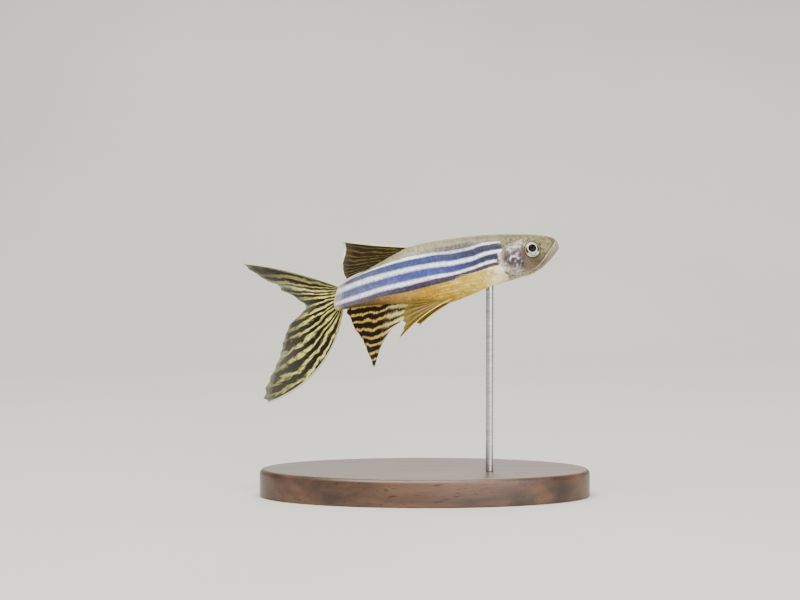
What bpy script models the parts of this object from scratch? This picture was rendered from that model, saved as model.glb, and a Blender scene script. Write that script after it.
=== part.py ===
# Zebra danio, long-finned male, as a still life-size model on a plain display stand.
#
# Frame: +X towards the head, +Z up, and the fish's right side faces -Y. The origin is the middle
# of the stand's underside. Sizes are in millimetres and become metres where a mesh is made.
# The body is a loft along a bent spine, parted by thin cuts into head, jaw, gill covers, trunk
# and tail stalk. Each fin is a fan of rays with a web between them.

import math

import bmesh
import bpy
import numpy as np
from mathutils import Matrix, Vector

MM = 0.001
SIDES = (("right", 1), ("left", -1))

# Driving sizes of the fish
STANDARD_LENGTH = 35.1  # snout tip to the root of the tail fin, along the spine
SNOUT_TIP = np.array([19.3, -3.0, 36.35])
CUT_GAP = 0.3  # between neighbouring pieces
FIN_ROOT_THICKNESS = 0.7
FIN_TIP_THICKNESS = 0.5
FEELER_THICKNESS = 0.54

# The fish is laid out as one viewer sees it, who stands on its right side and a little above
VIEWER_AIM = np.array([-3.6, 0.0, 28.5])
VIEWER_DISTANCE = 420.0
VIEWER_RISE = math.radians(3.0)
VIEWER = VIEWER_AIM + VIEWER_DISTANCE * np.array([0.0, -math.cos(VIEWER_RISE), math.sin(VIEWER_RISE)])

# Each table holds (share of the standard length, value) pairs, and smooth() runs between them.
# Slope of the spine in the side view, in degrees, falling towards the tail
SLOPE = [(0.0, 12.0), (0.6, 12.5), (0.78, 17.0), (0.9, 19.0), (1.0, 23.0)]
# Turn of the spine away from the viewer, in degrees: the tail sweeps to the fish's left
SWEEP = [(0.0, -3.0), (0.3, -2.0), (0.45, 1.0), (0.6, 9.0), (0.75, 25.0), (0.9, 44.0), (1.0, 50.0)]
# Roll about the spine, in degrees: the belly turns a little towards the viewer
ROLL = [(0.0, 5.0), (0.2, 7.0), (0.45, 13.0), (0.75, 17.0), (1.0, 20.0)]
# Height of the back above the spine, depth of the belly below it, and half the width
BACK = [
    (0.0, 0.0), (0.0008, 0.55), (0.004, 0.95), (0.02, 1.6), (0.06, 2.18), (0.1, 2.62), (0.16, 3.12),
    (0.25, 3.75), (0.35, 4.28), (0.45, 4.58), (0.53, 4.76), (0.6, 4.76), (0.66, 4.3), (0.75, 3.53),
    (0.85, 2.95), (1.0, 2.3),
]
BELLY = [
    (0.0, 0.0), (0.0008, 0.17), (0.004, 0.36), (0.02, 0.92), (0.06, 1.97), (0.1, 2.74), (0.14, 3.15),
    (0.2, 3.3), (0.26, 3.5), (0.3, 3.62), (0.35, 3.84), (0.4, 4.22), (0.48, 4.65), (0.6, 4.1), (0.7, 3.3),
    (0.85, 2.45), (1.0, 1.95),
]
HALF_WIDTH = [
    (0.0, 0.0), (0.0008, 0.22), (0.004, 0.46), (0.02, 0.92), (0.06, 1.4), (0.12, 1.85), (0.2, 2.2),
    (0.32, 2.4), (0.45, 2.3), (0.6, 1.8), (0.75, 1.3), (0.9, 0.85), (1.0, 0.5),
]
ROUNDNESS = 2.25  # superellipse power of the cross-section, where 2 is an ellipse

# Where the thin cuts part the body, as shares of the standard length, and the rings in each length
HEAD_END = 0.25
TRUNK_MIDDLE = 0.47
TAIL_START = 0.72
HEAD_RINGS, FRONT_RINGS, REAR_RINGS, STALK_RINGS = 22, 9, 12, 14
SNOUT_CROWDING = 1.7  # rings of the head stand closer towards the snout
RING_POINTS = 30
SPINE_STEPS = 700

# Head, from the snout tip back, up from the spine and out from the middle plane
EYE_BACK, EYE_UP, EYE_OUT = 3.95, 0.35, 1.3
EYE_RADIUS, EYE_BULGE = 1.13, 0.74
EYE_CLEARANCE = 0.12  # on top of the cut gap
GILL_BACK, GILL_UP = 7.1, -0.15
GILL_HALF_LENGTH, GILL_HALF_HEIGHT = 1.6, 2.2
GILL_INNER_FACE = 1.3  # out from the middle plane
GILL_SIDES = 28
MOUTH_TIP = (-0.6, 1.88)  # (back, up) of the gape's front, ahead of the snout
MOUTH_CORNER = (2.15, -0.72)
JAW_HINGE = (3.3, -1.9)
BELOW_JAW = -4.2  # a height clear below the throat
JAW_CUT_RISE = 0.4  # the head is cut back this far above the gape, which gives a gap square to it
CLEAR_OF_HEAD = 4.5  # a distance out that is clear of the head's side
# Barbels, as (back, up, out): the snout pair is short, and the jaw pair lies back along the cheek
SNOUT_BARBEL = [(0.6, 0.9, 1.22), (0.8, 0.25, 1.5), (1.15, -0.35, 1.66)]
JAW_BARBEL = [(2.25, -0.95, 1.8), (2.8, -1.55, 1.8), (3.6, -2.05, 1.76), (4.6, -2.55, 1.7)]

# Fin tips below are (back, up) from the snout tip in the side view, one for each main ray. A rise
# is the angle at which a ray sets out towards the tail, on the first and the last ray. A bow is
# how far along a ray its knee lies, and a notch how far the web falls short of the rays.
TAIL_TIPS = [
    (45.9, -2.5), (44.8, -3.4), (43.1, -4.5), (42.0, -5.2), (40.6, -5.7), (40.1, -6.5), (38.8, -7.0),
    (37.7, -7.8), (36.6, -8.8), (37.0, -9.6), (38.9, -11.5), (39.5, -12.8), (40.0, -14.1), (40.3, -15.5),
    (40.9, -17.3), (41.7, -19.0), (42.5, -20.7), (42.8, -22.1), (42.1, -22.9),
]
TAIL_UPPER_RAYS = 9
TAIL_ROOT = ((32.25, -5.75), (31.15, -9.35))
TAIL_RISE = (21.0, -84.0)
TAIL_RISE_TREND = 1.15  # above 1, the turn from the first rise to the last is slow at first
TAIL_BOW = 0.57
TAIL_NOTCH = 0.05
TAIL_SWING, TAIL_SWING_REACH = 3.6, 4.0  # depth the fin gains as it goes on with the tail's sweep
TAIL_FLATTENING = 0.6  # the swing counts height less than length
TAIL_LEAN = math.radians(14.0)  # the lower lobe leans towards the viewer
TAIL_STEPS = 7

# Fins on the middle line: the shares of the length where the root starts and ends. A trail is the
# depth that a ray gains for each millimetre back.
DORSAL_ROOT = (0.59, 0.785)
DORSAL_TIPS = [
    (31.3, 0.75), (31.12, 0.0), (31.05, -0.8), (31.15, -1.65), (31.4, -2.6), (31.4, -3.4),
    (31.15, -4.05), (30.7, -4.5),
]
DORSAL_FAN = {"rise": (-4.5, -24.0), "trail": (0.25, 0.5), "bow": 0.5, "notch": 0.03}
ANAL_ROOT = (0.648, 0.93)
ANAL_TIPS = [
    (22.8, -10.9), (24.1, -12.2), (25.2, -13.85), (25.95, -15.2), (26.7, -17.7), (27.5, -15.6),
    (28.05, -14.35), (28.6, -13.35), (29.35, -12.3), (29.7, -11.3), (30.15, -10.4), (30.7, -9.75),
]
ANAL_FAN = {"rise": (-88.0, -40.0), "trail": (0.2, 0.6), "bow": 0.45, "notch": 0.06}
MIDDLE_FIN_LIFT = 0.35  # of the root off the skin

# Belly fins: the root's shares of the length, and its turns from the back in degrees
PELVIC_ROOT = (0.4, 0.43)
PELVIC_TURN = (155.0, 167.0)
PELVIC_TIPS = {
    "right": [(23.4, -14.05), (22.8, -12.8), (22.6, -11.6), (22.7, -10.5), (22.2, -9.6)],
    "left": [(20.2, -11.7), (20.6, -11.0), (20.8, -10.2), (20.7, -9.5), (20.4, -9.0)],
}
PELVIC_RISE, PELVIC_BOW = (-6.0, -14.0), 0.5
PELVIC_SPREAD = {"right": (-2.0, -1.4), "left": (2.2, 1.54)}  # depth that the tips gain on the root
PELVIC_LIFT = 0.75

# Breast fins, folded back along the flank: places on the body's own surface, as a share of the
# length and a turn from the back in degrees
PECTORAL_ROOT_SHARE = 0.272
PECTORAL_ROOT_TURN = (111.0, 125.0)
PECTORAL_TIPS = [(0.425, 104.0), (0.452, 109.0), (0.455, 116.0), (0.44, 124.0), (0.41, 132.0), (0.38, 138.0)]
PECTORAL_LIFT = (0.66, 1.3)  # of the fin's middle sheet off the flank, at its root and its tips
PAIRED_NOTCH = 0.04
FIN_STEPS = 6

# The stand: an oval wooden base and one steel rod
BASE_LENGTH, BASE_DEPTH, BASE_HEIGHT = 48.0, 30.0, 4.0
BASE_BEVEL, BASE_BEVEL_STEPS = 0.7, 2
BASE_SIDES = 56
ROD_RADIUS = 0.55
ROD_BACK = 0.315  # share of the standard length where the rod meets the belly
ROD_TOP_GAP = 0.45
ROD_SIDES = 20


def smooth(table, at):
    # A cubic through the pairs that never overshoots them: its slopes are harmonic means.
    x, y = np.array(table, float).T
    step, rise = np.diff(x), np.diff(y) / np.diff(x)
    slope = np.zeros(len(x))
    same_way = rise[:-1] * rise[1:] > 0
    slope[1:-1][same_way] = 2 / (1 / rise[:-1][same_way] + 1 / rise[1:][same_way])
    slope[0], slope[-1] = rise[0], rise[-1]
    at = np.clip(np.asarray(at, float), x[0], x[-1])
    i = np.clip(np.searchsorted(x, at, side="right") - 1, 0, len(x) - 2)
    t = (at - x[i]) / step[i]
    return (
        (1 + 2 * t) * (1 - t) ** 2 * y[i]
        + t * (1 - t) ** 2 * step[i] * slope[i]
        + t * t * (3 - 2 * t) * y[i + 1]
        + t * t * (t - 1) * step[i] * slope[i + 1]
    )


def by_root(table, share):
    # Read over the root of the share, so that the snout is round and not a point.
    return smooth([(math.sqrt(f), v) for f, v in table], np.sqrt(np.clip(share, 0, 1)))


def between(pair, q):
    return pair[0] + (pair[1] - pair[0]) * q


def backward(share):
    # Unit vector along the spine towards the tail.
    slope, sweep = np.radians(smooth(SLOPE, share)), np.radians(smooth(SWEEP, share))
    return np.stack(
        [-np.cos(slope) * np.cos(sweep), np.sin(sweep), -np.sin(slope) * np.cos(sweep)], axis=-1
    )


SPINE_SHARES = np.linspace(0, 1, SPINE_STEPS + 1)
SPINE_POINTS = SNOUT_TIP + np.concatenate(
    [[[0.0, 0.0, 0.0]], np.cumsum(backward(SPINE_SHARES[:-1]), axis=0) * STANDARD_LENGTH / SPINE_STEPS]
)


def spine(share):
    return np.stack([np.interp(share, SPINE_SHARES, SPINE_POINTS[:, k]) for k in range(3)], axis=-1)


def frame_at(share):
    # The directions to the fish's back and to its right side, at a place on the spine.
    along, roll = backward(share), np.radians(smooth(ROLL, share))
    upright = np.array([0.0, 0.0, 1.0]) - along * along[2]
    upright /= np.linalg.norm(upright)
    right = np.cross(upright, along)
    to_back = upright * math.cos(roll) - right * math.sin(roll)
    return to_back, right * math.cos(roll) + upright * math.sin(roll)


def in_fish(share, up, out):
    # The point at that height above the spine and that far out to the fish's right.
    to_back, to_right = frame_at(share)
    return spine(share) + to_back * up + to_right * out


def head_point(back, up, out):
    return in_fish(back / STANDARD_LENGTH, up, out)


def on_body(share, turn, lift=0.0):
    # A point of the body's surface: turn runs from 0 at the back, by the right side, to the belly
    # at half a turn. lift moves it outwards.
    c, s = math.cos(turn), math.sin(turn)
    height = by_root(BACK if c > 0 else BELLY, share) + lift
    width = by_root(HALF_WIDTH, share) + lift
    power = 2 / ROUNDNESS
    return in_fish(
        share,
        math.copysign(abs(c) ** power, c) * height,
        math.copysign(abs(s) ** power, s) * width,
    )


def material(name, colour, roughness=0.4, metallic=0.0):
    made = bpy.data.materials.new(name)
    made.use_nodes = True
    surface = made.node_tree.nodes["Principled BSDF"]
    surface.inputs["Base Color"].default_value = (*colour, 1.0)
    surface.inputs["Roughness"].default_value = roughness
    surface.inputs["Metallic"].default_value = metallic
    made.diffuse_color = (*colour, 1.0)
    return made


def placed(name, shell, finish, sharp_angle):
    # The finished object of a bmesh whose points are in metres.
    mesh = bpy.data.meshes.new(name)
    shell.to_mesh(mesh)
    shell.free()
    mesh.shade_smooth()
    mesh.set_sharp_from_angle(angle=math.radians(sharp_angle))
    mesh.materials.append(finish)
    made = bpy.data.objects.new(name, mesh)
    bpy.context.scene.collection.objects.link(made)
    return made


def from_faces(name, points, faces, finish):
    # Points are in millimetres.
    shell = bmesh.new()
    verts = [shell.verts.new(Vector(p) * MM) for p in points]
    for face in faces:
        shell.faces.new([verts[i] for i in face])
    bmesh.ops.recalc_face_normals(shell, faces=shell.faces)
    return placed(name, shell, finish, 50)


def loft(rings):
    # Faces between rings of as many points each. The last ring gets a cap, and so does the
    # first, unless it is a single point.
    around = len(rings[-1])
    points, faces, starts = [], [], []
    for ring in rings:
        starts.append(len(points))
        points.extend(ring)
    for a, b, ring in zip(starts, starts[1:], rings):
        for i in range(around):
            j = (i + 1) % around
            if len(ring) == 1:
                faces.append((a, b + i, b + j))
            else:
                faces.append((a + i, b + i, b + j, a + j))
    if len(rings[0]) > 1:
        faces.append(tuple(range(around)))
    faces.append(tuple(reversed(range(starts[-1], starts[-1] + around))))
    return points, faces


def body_ring(share):
    return [on_body(share, 2 * math.pi * i / RING_POINTS) for i in range(RING_POINTS)]


def body_length(name, start, end, rings, finish):
    # One length of the body between two cuts, each half a gap short of its neighbour.
    half_gap = CUT_GAP / 2 / STANDARD_LENGTH
    shares = np.linspace(start + half_gap, end - half_gap, rings)
    return from_faces(name, *loft([body_ring(f) for f in shares]), finish)


def whole_head(name, finish):
    last = HEAD_END - CUT_GAP / 2 / STANDARD_LENGTH
    shares = [last * (i / HEAD_RINGS) ** SNOUT_CROWDING for i in range(1, HEAD_RINGS + 1)]
    return from_faces(name, *loft([[SNOUT_TIP]] + [body_ring(f) for f in shares]), finish)


def across_prism(name, outline, inner, outer, finish):
    # A prism that runs across the head over an outline of (back, up) points.
    rings = [[head_point(back, up, out) for back, up in outline] for out in (inner, outer)]
    return from_faces(name, *loft(rings), finish)


def gill_outline(wider):
    turns = [2 * math.pi * i / GILL_SIDES for i in range(GILL_SIDES)]
    return [
        (
            GILL_BACK + (GILL_HALF_LENGTH + wider) * math.cos(t),
            GILL_UP + (GILL_HALF_HEIGHT + wider) * math.sin(t),
        )
        for t in turns
    ]


def cut_with(target, cutter, operation):
    cutter.hide_render = True
    cutter.display_type = "WIRE"
    modifier = target.modifiers.new(operation.title() + " " + cutter.name, "BOOLEAN")
    modifier.operation = operation
    modifier.object = cutter
    modifier.solver = "EXACT"


def pressed_ball(name, sign, wider, finish):
    # The eye's shape: a ball pressed flat towards its own side of the head.
    to_side = frame_at(EYE_BACK / STANDARD_LENGTH)[1] * sign
    centre = Vector(head_point(EYE_BACK, EYE_UP, sign * EYE_OUT)) * MM
    turn = Vector((0, 0, 1)).rotation_difference(Vector(to_side)).to_matrix().to_4x4()
    radius, bulge = (EYE_RADIUS + wider) * MM, (EYE_BULGE + wider) * MM
    ball = bmesh.new()
    bmesh.ops.create_uvsphere(ball, u_segments=20, v_segments=10, radius=1.0)
    ball.transform(Matrix.Translation(centre) @ turn @ Matrix.Diagonal((radius, radius, bulge, 1.0)))
    return placed(name, ball, finish, 60)


def build_jaw(head, skin):
    jaw = whole_head("lower_jaw", skin)
    front, behind = MOUTH_TIP[0], JAW_HINGE[0]
    outline = [MOUTH_TIP, MOUTH_CORNER, JAW_HINGE, (behind, BELOW_JAW), (front, BELOW_JAW)]
    room = across_prism("jaw_room", outline, -CLEAR_OF_HEAD, CLEAR_OF_HEAD, skin)
    cut_with(jaw, room, "INTERSECT")
    # The head is cut away a gap above and behind the jaw.
    outline = [
        (MOUTH_TIP[0], MOUTH_TIP[1] + JAW_CUT_RISE),
        (MOUTH_CORNER[0], MOUTH_CORNER[1] + JAW_CUT_RISE),
        (behind + CUT_GAP, JAW_HINGE[1] + CUT_GAP),
        (behind + CUT_GAP, BELOW_JAW - 1),
        (front - 1, BELOW_JAW - 1),
    ]
    room = across_prism("jaw_cut", outline, -CLEAR_OF_HEAD - 1, CLEAR_OF_HEAD + 1, skin)
    cut_with(head, room, "DIFFERENCE")


def build_head(skin, cheek, iris):
    head = whole_head("head", skin)
    for side, sign in SIDES:
        pressed_ball(f"eye_{side}", sign, 0.0, iris)
        socket = pressed_ball(f"socket_{side}", sign, CUT_GAP + EYE_CLEARANCE, iris)
        cut_with(head, socket, "DIFFERENCE")

    build_jaw(head, skin)

    for side, sign in SIDES:
        cover = whole_head(f"gill_cover_{side}", cheek)
        inner, outer = sign * GILL_INNER_FACE, sign * CLEAR_OF_HEAD
        plate = across_prism(f"gill_plate_{side}", gill_outline(0.0), inner, outer, cheek)
        cut_with(cover, plate, "INTERSECT")
        inner, outer = inner - sign * CUT_GAP, outer + sign
        seat = across_prism(f"gill_seat_{side}", gill_outline(CUT_GAP), inner, outer, cheek)
        cut_with(head, seat, "DIFFERENCE")


def build_barbels(skin):
    for pair, run in (("snout", SNOUT_BARBEL), ("jaw", JAW_BARBEL)):
        for side, sign in SIDES:
            curve = bpy.data.curves.new(f"barbel_{pair}_{side}", "CURVE")
            curve.dimensions = "3D"
            curve.bevel_depth = FEELER_THICKNESS / 2 * MM
            curve.bevel_resolution = 2
            curve.use_fill_caps = True
            line = curve.splines.new("POLY")
            line.points.add(len(run) - 1)
            for point, (back, up, out) in zip(line.points, run):
                point.co = (*(Vector(head_point(back, up, out * sign)) * MM), 1.0)
            curve.materials.append(skin)
            bpy.context.scene.collection.objects.link(bpy.data.objects.new(curve.name, curve))


def curved_ray(root, tip, leaving, bow, steps):
    # A ray from its root to its tip, which sets out along leaving.
    knee = root + leaving * np.linalg.norm(tip - root) * bow
    t = np.linspace(0, 1, steps + 1)[:, None]
    return (1 - t) ** 2 * root + 2 * t * (1 - t) * knee + t * t * tip


def with_webs(rays, notch):
    # Adds a column between each two rays, which ends a little short of them.
    columns = [rays[0]]
    for a, b in zip(rays, rays[1:]):
        middle = (a + b) / 2
        t = np.linspace(0, 1 - notch, len(middle))
        whole = np.linspace(0, 1, len(middle))
        columns.append(np.stack([np.interp(t, whole, middle[:, k]) for k in range(3)], axis=1))
        columns.append(b)
    return np.array(columns)


def fin(name, columns, finish):
    # A closed sheet over columns of points, thickest at its root.
    normal = np.cross(np.gradient(columns, axis=1), np.gradient(columns, axis=0))
    normal /= np.linalg.norm(normal, axis=2, keepdims=True)
    wide, tall = columns.shape[:2]
    half = np.linspace(FIN_ROOT_THICKNESS, FIN_TIP_THICKNESS, tall)[None, :, None] / 2
    near, far = columns + normal * half, columns - normal * half
    points = np.concatenate([near.reshape(-1, 3), far.reshape(-1, 3)])
    back_face = wide * tall
    faces = []
    for i in range(wide - 1):
        for j in range(tall - 1):
            a, b = i * tall + j, (i + 1) * tall + j
            faces.append((a, a + 1, b + 1, b))
            faces.append((back_face + a, back_face + b, back_face + b + 1, back_face + a + 1))
    rim = [i * tall for i in range(wide)]
    rim += [(wide - 1) * tall + j for j in range(1, tall)]
    rim += [i * tall + tall - 1 for i in range(wide - 2, -1, -1)]
    rim += list(range(tall - 2, 0, -1))
    for a, b in zip(rim, rim[1:] + rim[:1]):
        faces.append((a, b, back_face + b, back_face + a))
    return from_faces(name, points, faces, finish)


def side_point(back, up, depth):
    # Back from the snout tip and up from it, as the viewer sees it, at a depth of its own.
    seen = np.array([SNOUT_TIP[0] - back, 0.0, SNOUT_TIP[2] + up])
    return VIEWER + (seen - VIEWER) * (depth - VIEWER[1]) / -VIEWER[1]


def side_direction(rise):
    # Towards the tail in the side view, rising by so many degrees.
    return np.array([-math.cos(math.radians(rise)), 0.0, math.sin(math.radians(rise))])


def tail_depth(back, up):
    # Depth of the tail fin: it leaves along the swept tail and then trails straight.
    middle_back, middle_up = np.mean(TAIL_ROOT, axis=0)
    reach = math.hypot(max(back - middle_back, 0.0), TAIL_FLATTENING * (up - middle_up))
    swing = TAIL_SWING * (1 - math.exp(-reach / TAIL_SWING_REACH))
    return spine(1.0)[1] + swing + (up - middle_up) * math.tan(TAIL_LEAN)


def tail_ray(tip, q):
    # q runs from 0 on the top ray to 1 on the bottom one.
    root = between(np.array(TAIL_ROOT), q)
    leaving = side_direction(between(TAIL_RISE, q**TAIL_RISE_TREND))
    flat = curved_ray(side_point(*root, 0.0), side_point(*tip, 0.0), leaving, TAIL_BOW, TAIL_STEPS)
    seen = [(SNOUT_TIP[0] - point[0], point[2] - SNOUT_TIP[2]) for point in flat]
    return np.array([side_point(*place, tail_depth(*place)) for place in seen])


def build_tail_fin(web):
    rays = [tail_ray(tip, i / (len(TAIL_TIPS) - 1)) for i, tip in enumerate(TAIL_TIPS)]
    fin("fin_tail_upper", with_webs(rays[:TAIL_UPPER_RAYS], TAIL_NOTCH), web)
    fin("fin_tail_lower", with_webs(rays[TAIL_UPPER_RAYS:], TAIL_NOTCH), web)


def middle_fin(name, ridge_turn, root, tips, fan, web):
    # A fin on the ridge of the back or of the belly, which leans with the body's roll.
    rays = []
    for i, tip in enumerate(tips):
        q = i / (len(tips) - 1)
        share = between(root, q)
        start = on_body(share, ridge_turn, MIDDLE_FIN_LIFT)
        lean = math.tan(math.radians(smooth(ROLL, share)))
        gained_back = tip[0] - (SNOUT_TIP[0] - start[0])
        gained_up = tip[1] - (start[2] - SNOUT_TIP[2])
        trailing = between(fan["trail"], q)
        end = side_point(*tip, start[1] + gained_back * trailing + gained_up * lean)
        leaving = side_direction(between(fan["rise"], q))
        leaving[1] = -leaving[0] * trailing + leaving[2] * lean
        rays.append(curved_ray(start, end, leaving, fan["bow"], FIN_STEPS))
    fin(name, with_webs(rays, fan["notch"]), web)


def build_pelvic_fin(side, sign, web):
    rays = []
    tips = PELVIC_TIPS[side]
    for i, tip in enumerate(tips):
        q = i / (len(tips) - 1)
        turn = math.radians(between(PELVIC_TURN, q)) * sign
        start = on_body(between(PELVIC_ROOT, q), turn, PELVIC_LIFT)
        end = side_point(*tip, start[1] + between(PELVIC_SPREAD[side], q))
        rays.append(curved_ray(start, end, side_direction(between(PELVIC_RISE, q)), PELVIC_BOW, FIN_STEPS))
    fin(f"fin_pelvic_{side}", with_webs(rays, PAIRED_NOTCH), web)


def build_pectoral_fin(side, sign, web):
    rays = []
    for i, (tip_share, tip_turn) in enumerate(PECTORAL_TIPS):
        root_turn = between(PECTORAL_ROOT_TURN, i / (len(PECTORAL_TIPS) - 1))
        ray = []
        for t in np.linspace(0, 1, FIN_STEPS + 1):
            turn = sign * math.radians(between((root_turn, tip_turn), t))
            share = between((PECTORAL_ROOT_SHARE, tip_share), t)
            ray.append(on_body(share, turn, between(PECTORAL_LIFT, t**1.5)))
        rays.append(np.array(ray))
    fin(f"fin_pectoral_{side}", with_webs(rays, PAIRED_NOTCH), web)


def build_base(wood):
    slab = bmesh.new()
    bmesh.ops.create_cone(
        slab, cap_ends=True, segments=BASE_SIDES, radius1=0.5, radius2=0.5, depth=BASE_HEIGHT * MM
    )
    oval = Matrix.Diagonal((BASE_LENGTH * MM, BASE_DEPTH * MM, 1.0, 1.0))
    slab.transform(Matrix.Translation((0, 0, BASE_HEIGHT / 2 * MM)) @ oval)
    middle = BASE_HEIGHT / 2 * MM
    top_edges = [e for e in slab.edges if all(v.co.z > middle for v in e.verts)]
    bmesh.ops.bevel(
        slab,
        geom=top_edges,
        offset=BASE_BEVEL * MM,
        segments=BASE_BEVEL_STEPS,
        profile=0.5,
        affect="EDGES",
    )
    placed("stand_base", slab, wood, 35)


def build_rod(steel):
    # Upright from the base to the belly, ahead of the belly fins.
    meets = on_body(ROD_BACK, math.pi)
    low, high = BASE_HEIGHT + CUT_GAP, meets[2] - ROD_TOP_GAP
    radius = ROD_RADIUS * MM
    shaft = bmesh.new()
    bmesh.ops.create_cone(
        shaft, cap_ends=True, segments=ROD_SIDES, radius1=radius, radius2=radius, depth=(high - low) * MM
    )
    shaft.transform(Matrix.Translation(Vector((meets[0], meets[1], (low + high) / 2)) * MM))
    placed("stand_rod", shaft, steel, 35)


def main():
    for left_over in list(bpy.data.objects):
        bpy.data.objects.remove(left_over)
    skin = material("silver olive skin", (0.42, 0.4, 0.3))
    flank = material("blue and silver flank", (0.3, 0.36, 0.55), 0.35)
    cheek = material("violet silver gill cover", (0.4, 0.33, 0.4), 0.3)
    iris = material("silver ringed eye", (0.5, 0.5, 0.42), 0.15)
    web = material("yellow olive fin web", (0.45, 0.4, 0.15))
    wood = material("dark stained wood", (0.03, 0.028, 0.026), 0.45)
    steel = material("brushed steel", (0.6, 0.6, 0.6), 0.3, 1.0)

    build_head(skin, cheek, iris)
    body_length("trunk_front", HEAD_END, TRUNK_MIDDLE, FRONT_RINGS, flank)
    body_length("trunk_rear", TRUNK_MIDDLE, TAIL_START, REAR_RINGS, flank)
    body_length("tail_stalk", TAIL_START, 1.0, STALK_RINGS, flank)
    build_barbels(skin)
    build_tail_fin(web)
    middle_fin("fin_dorsal", 0.0, DORSAL_ROOT, DORSAL_TIPS, DORSAL_FAN, web)
    middle_fin("fin_anal", math.pi, ANAL_ROOT, ANAL_TIPS, ANAL_FAN, web)
    for side, sign in SIDES:
        build_pelvic_fin(side, sign, web)
        build_pectoral_fin(side, sign, web)
    build_base(wood)
    build_rod(steel)


main()
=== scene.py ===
import math
from functools import partial

import bmesh
import bpy
import numpy as np
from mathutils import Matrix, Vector


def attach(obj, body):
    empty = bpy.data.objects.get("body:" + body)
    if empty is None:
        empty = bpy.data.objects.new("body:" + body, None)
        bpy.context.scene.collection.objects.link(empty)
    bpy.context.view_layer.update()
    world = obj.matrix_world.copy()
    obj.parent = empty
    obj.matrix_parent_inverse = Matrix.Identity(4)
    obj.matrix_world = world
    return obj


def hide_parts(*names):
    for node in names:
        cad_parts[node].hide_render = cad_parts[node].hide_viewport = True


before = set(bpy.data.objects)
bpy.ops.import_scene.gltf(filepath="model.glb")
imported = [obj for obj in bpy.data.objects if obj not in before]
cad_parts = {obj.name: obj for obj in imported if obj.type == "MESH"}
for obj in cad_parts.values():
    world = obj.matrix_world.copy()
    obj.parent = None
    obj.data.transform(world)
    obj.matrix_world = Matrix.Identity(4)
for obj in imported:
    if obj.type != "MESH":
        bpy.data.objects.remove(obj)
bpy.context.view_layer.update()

mm = 0.001  # lengths below are in millimetres, and become metres where a mesh is made
bothSides = (("right", 1), ("left", -1))

# One viewer stands on the fish's right and a little above. The fins are laid out as seen from there,
# and the camera stands there too.
viewer = {
    "aim": np.array([-3.6, 0.0, 28.5]),
    "distance": 420.0,
    "rise": 3.0,  # degrees
    "pictureWidth": 116.0,  # what the picture takes in at the aim
}
viewer["place"] = viewer["aim"] + viewer["distance"] * np.array(
    [0.0, -math.cos(math.radians(viewer["rise"])), math.sin(math.radians(viewer["rise"]))]
)

# The fish's form, as in the solids. Tables hold (share of the length, value) pairs.
bodyForm = {
    "length": 35.1,  # snout tip to the root of the tail fin
    "spineSteps": 700,
    "snout": np.array([19.3, -3.0, 36.35]),
    "roundness": 2.25,  # power of the section's superellipse
    "slope": [(0.0, 12.0), (0.6, 12.5), (0.78, 17.0), (0.9, 19.0), (1.0, 23.0)],
    "sweep": [(0.0, -3.0), (0.3, -2.0), (0.45, 1.0), (0.6, 9.0), (0.75, 25.0), (0.9, 44.0), (1.0, 50.0)],
    "roll": [(0.0, 5.0), (0.2, 7.0), (0.45, 13.0), (0.75, 17.0), (1.0, 20.0)],
    "back": [
        (0.0, 0.0), (0.0008, 0.55), (0.004, 0.95), (0.02, 1.6), (0.06, 2.18), (0.1, 2.62), (0.16, 3.12),
        (0.25, 3.75), (0.35, 4.28), (0.45, 4.58), (0.53, 4.76), (0.6, 4.76), (0.66, 4.3), (0.75, 3.53),
        (0.85, 2.95), (1.0, 2.3),
    ],
    "belly": [
        (0.0, 0.0), (0.0008, 0.17), (0.004, 0.36), (0.02, 0.92), (0.06, 1.97), (0.1, 2.74), (0.14, 3.15),
        (0.2, 3.3), (0.26, 3.5), (0.3, 3.62), (0.35, 3.84), (0.4, 4.22), (0.48, 4.65), (0.6, 4.1),
        (0.7, 3.3), (0.85, 2.45), (1.0, 1.95),
    ],
    "halfWidth": [
        (0.0, 0.0), (0.0008, 0.22), (0.004, 0.46), (0.02, 0.92), (0.06, 1.4), (0.12, 1.85), (0.2, 2.2),
        (0.32, 2.4), (0.45, 2.3), (0.6, 1.8), (0.75, 1.3), (0.9, 0.85), (1.0, 0.5),
    ],
}


def hexColour(code):
    # An sRGB hex colour as a linear one.
    shares = [int(code[i : i + 2], 16) / 255 for i in (1, 3, 5)]
    return [s / 12.92 if s <= 0.04045 else ((s + 0.055) / 1.055) ** 2.4 for s in shares] + [1.0]


def setInputs(node, inputs):
    # Inputs are in order or named, each a value or a socket to link.
    for key, value in inputs.items() if isinstance(inputs, dict) else enumerate(inputs):
        if isinstance(value, bpy.types.NodeSocket):
            node.id_data.links.new(value, node.inputs[key])
        else:
            node.inputs[key].default_value = value


def addNode(tree, kind, inputs=(), operation=None, out=0, stops=(), **settings):
    # Gives back one output, or all for None. Stops are a ramp's (place, hex colour) pairs.
    full = kind.startswith(("Geometry", "Function", "NodeGroup"))
    made = tree.nodes.new(kind if full else "ShaderNode" + kind)
    if operation:
        made.operation = operation
    for name, value in settings.items():
        setattr(made, name, value)
    if stops:
        elements = made.color_ramp.elements
        while len(elements) < len(stops):
            elements.new(1.0)
        for element, (place, code) in zip(elements, stops):
            element.position = place
            element.color = hexColour(code)
    setInputs(made, inputs)
    return made.outputs if out is None else made.outputs[out]


def newMaterial(name):
    # The material, its surface shader, and addNode for its own nodes.
    material = bpy.data.materials.new(name)
    material.use_nodes = True
    tree = material.node_tree
    return material, tree.nodes["Principled BSDF"], partial(addNode, tree)


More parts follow.
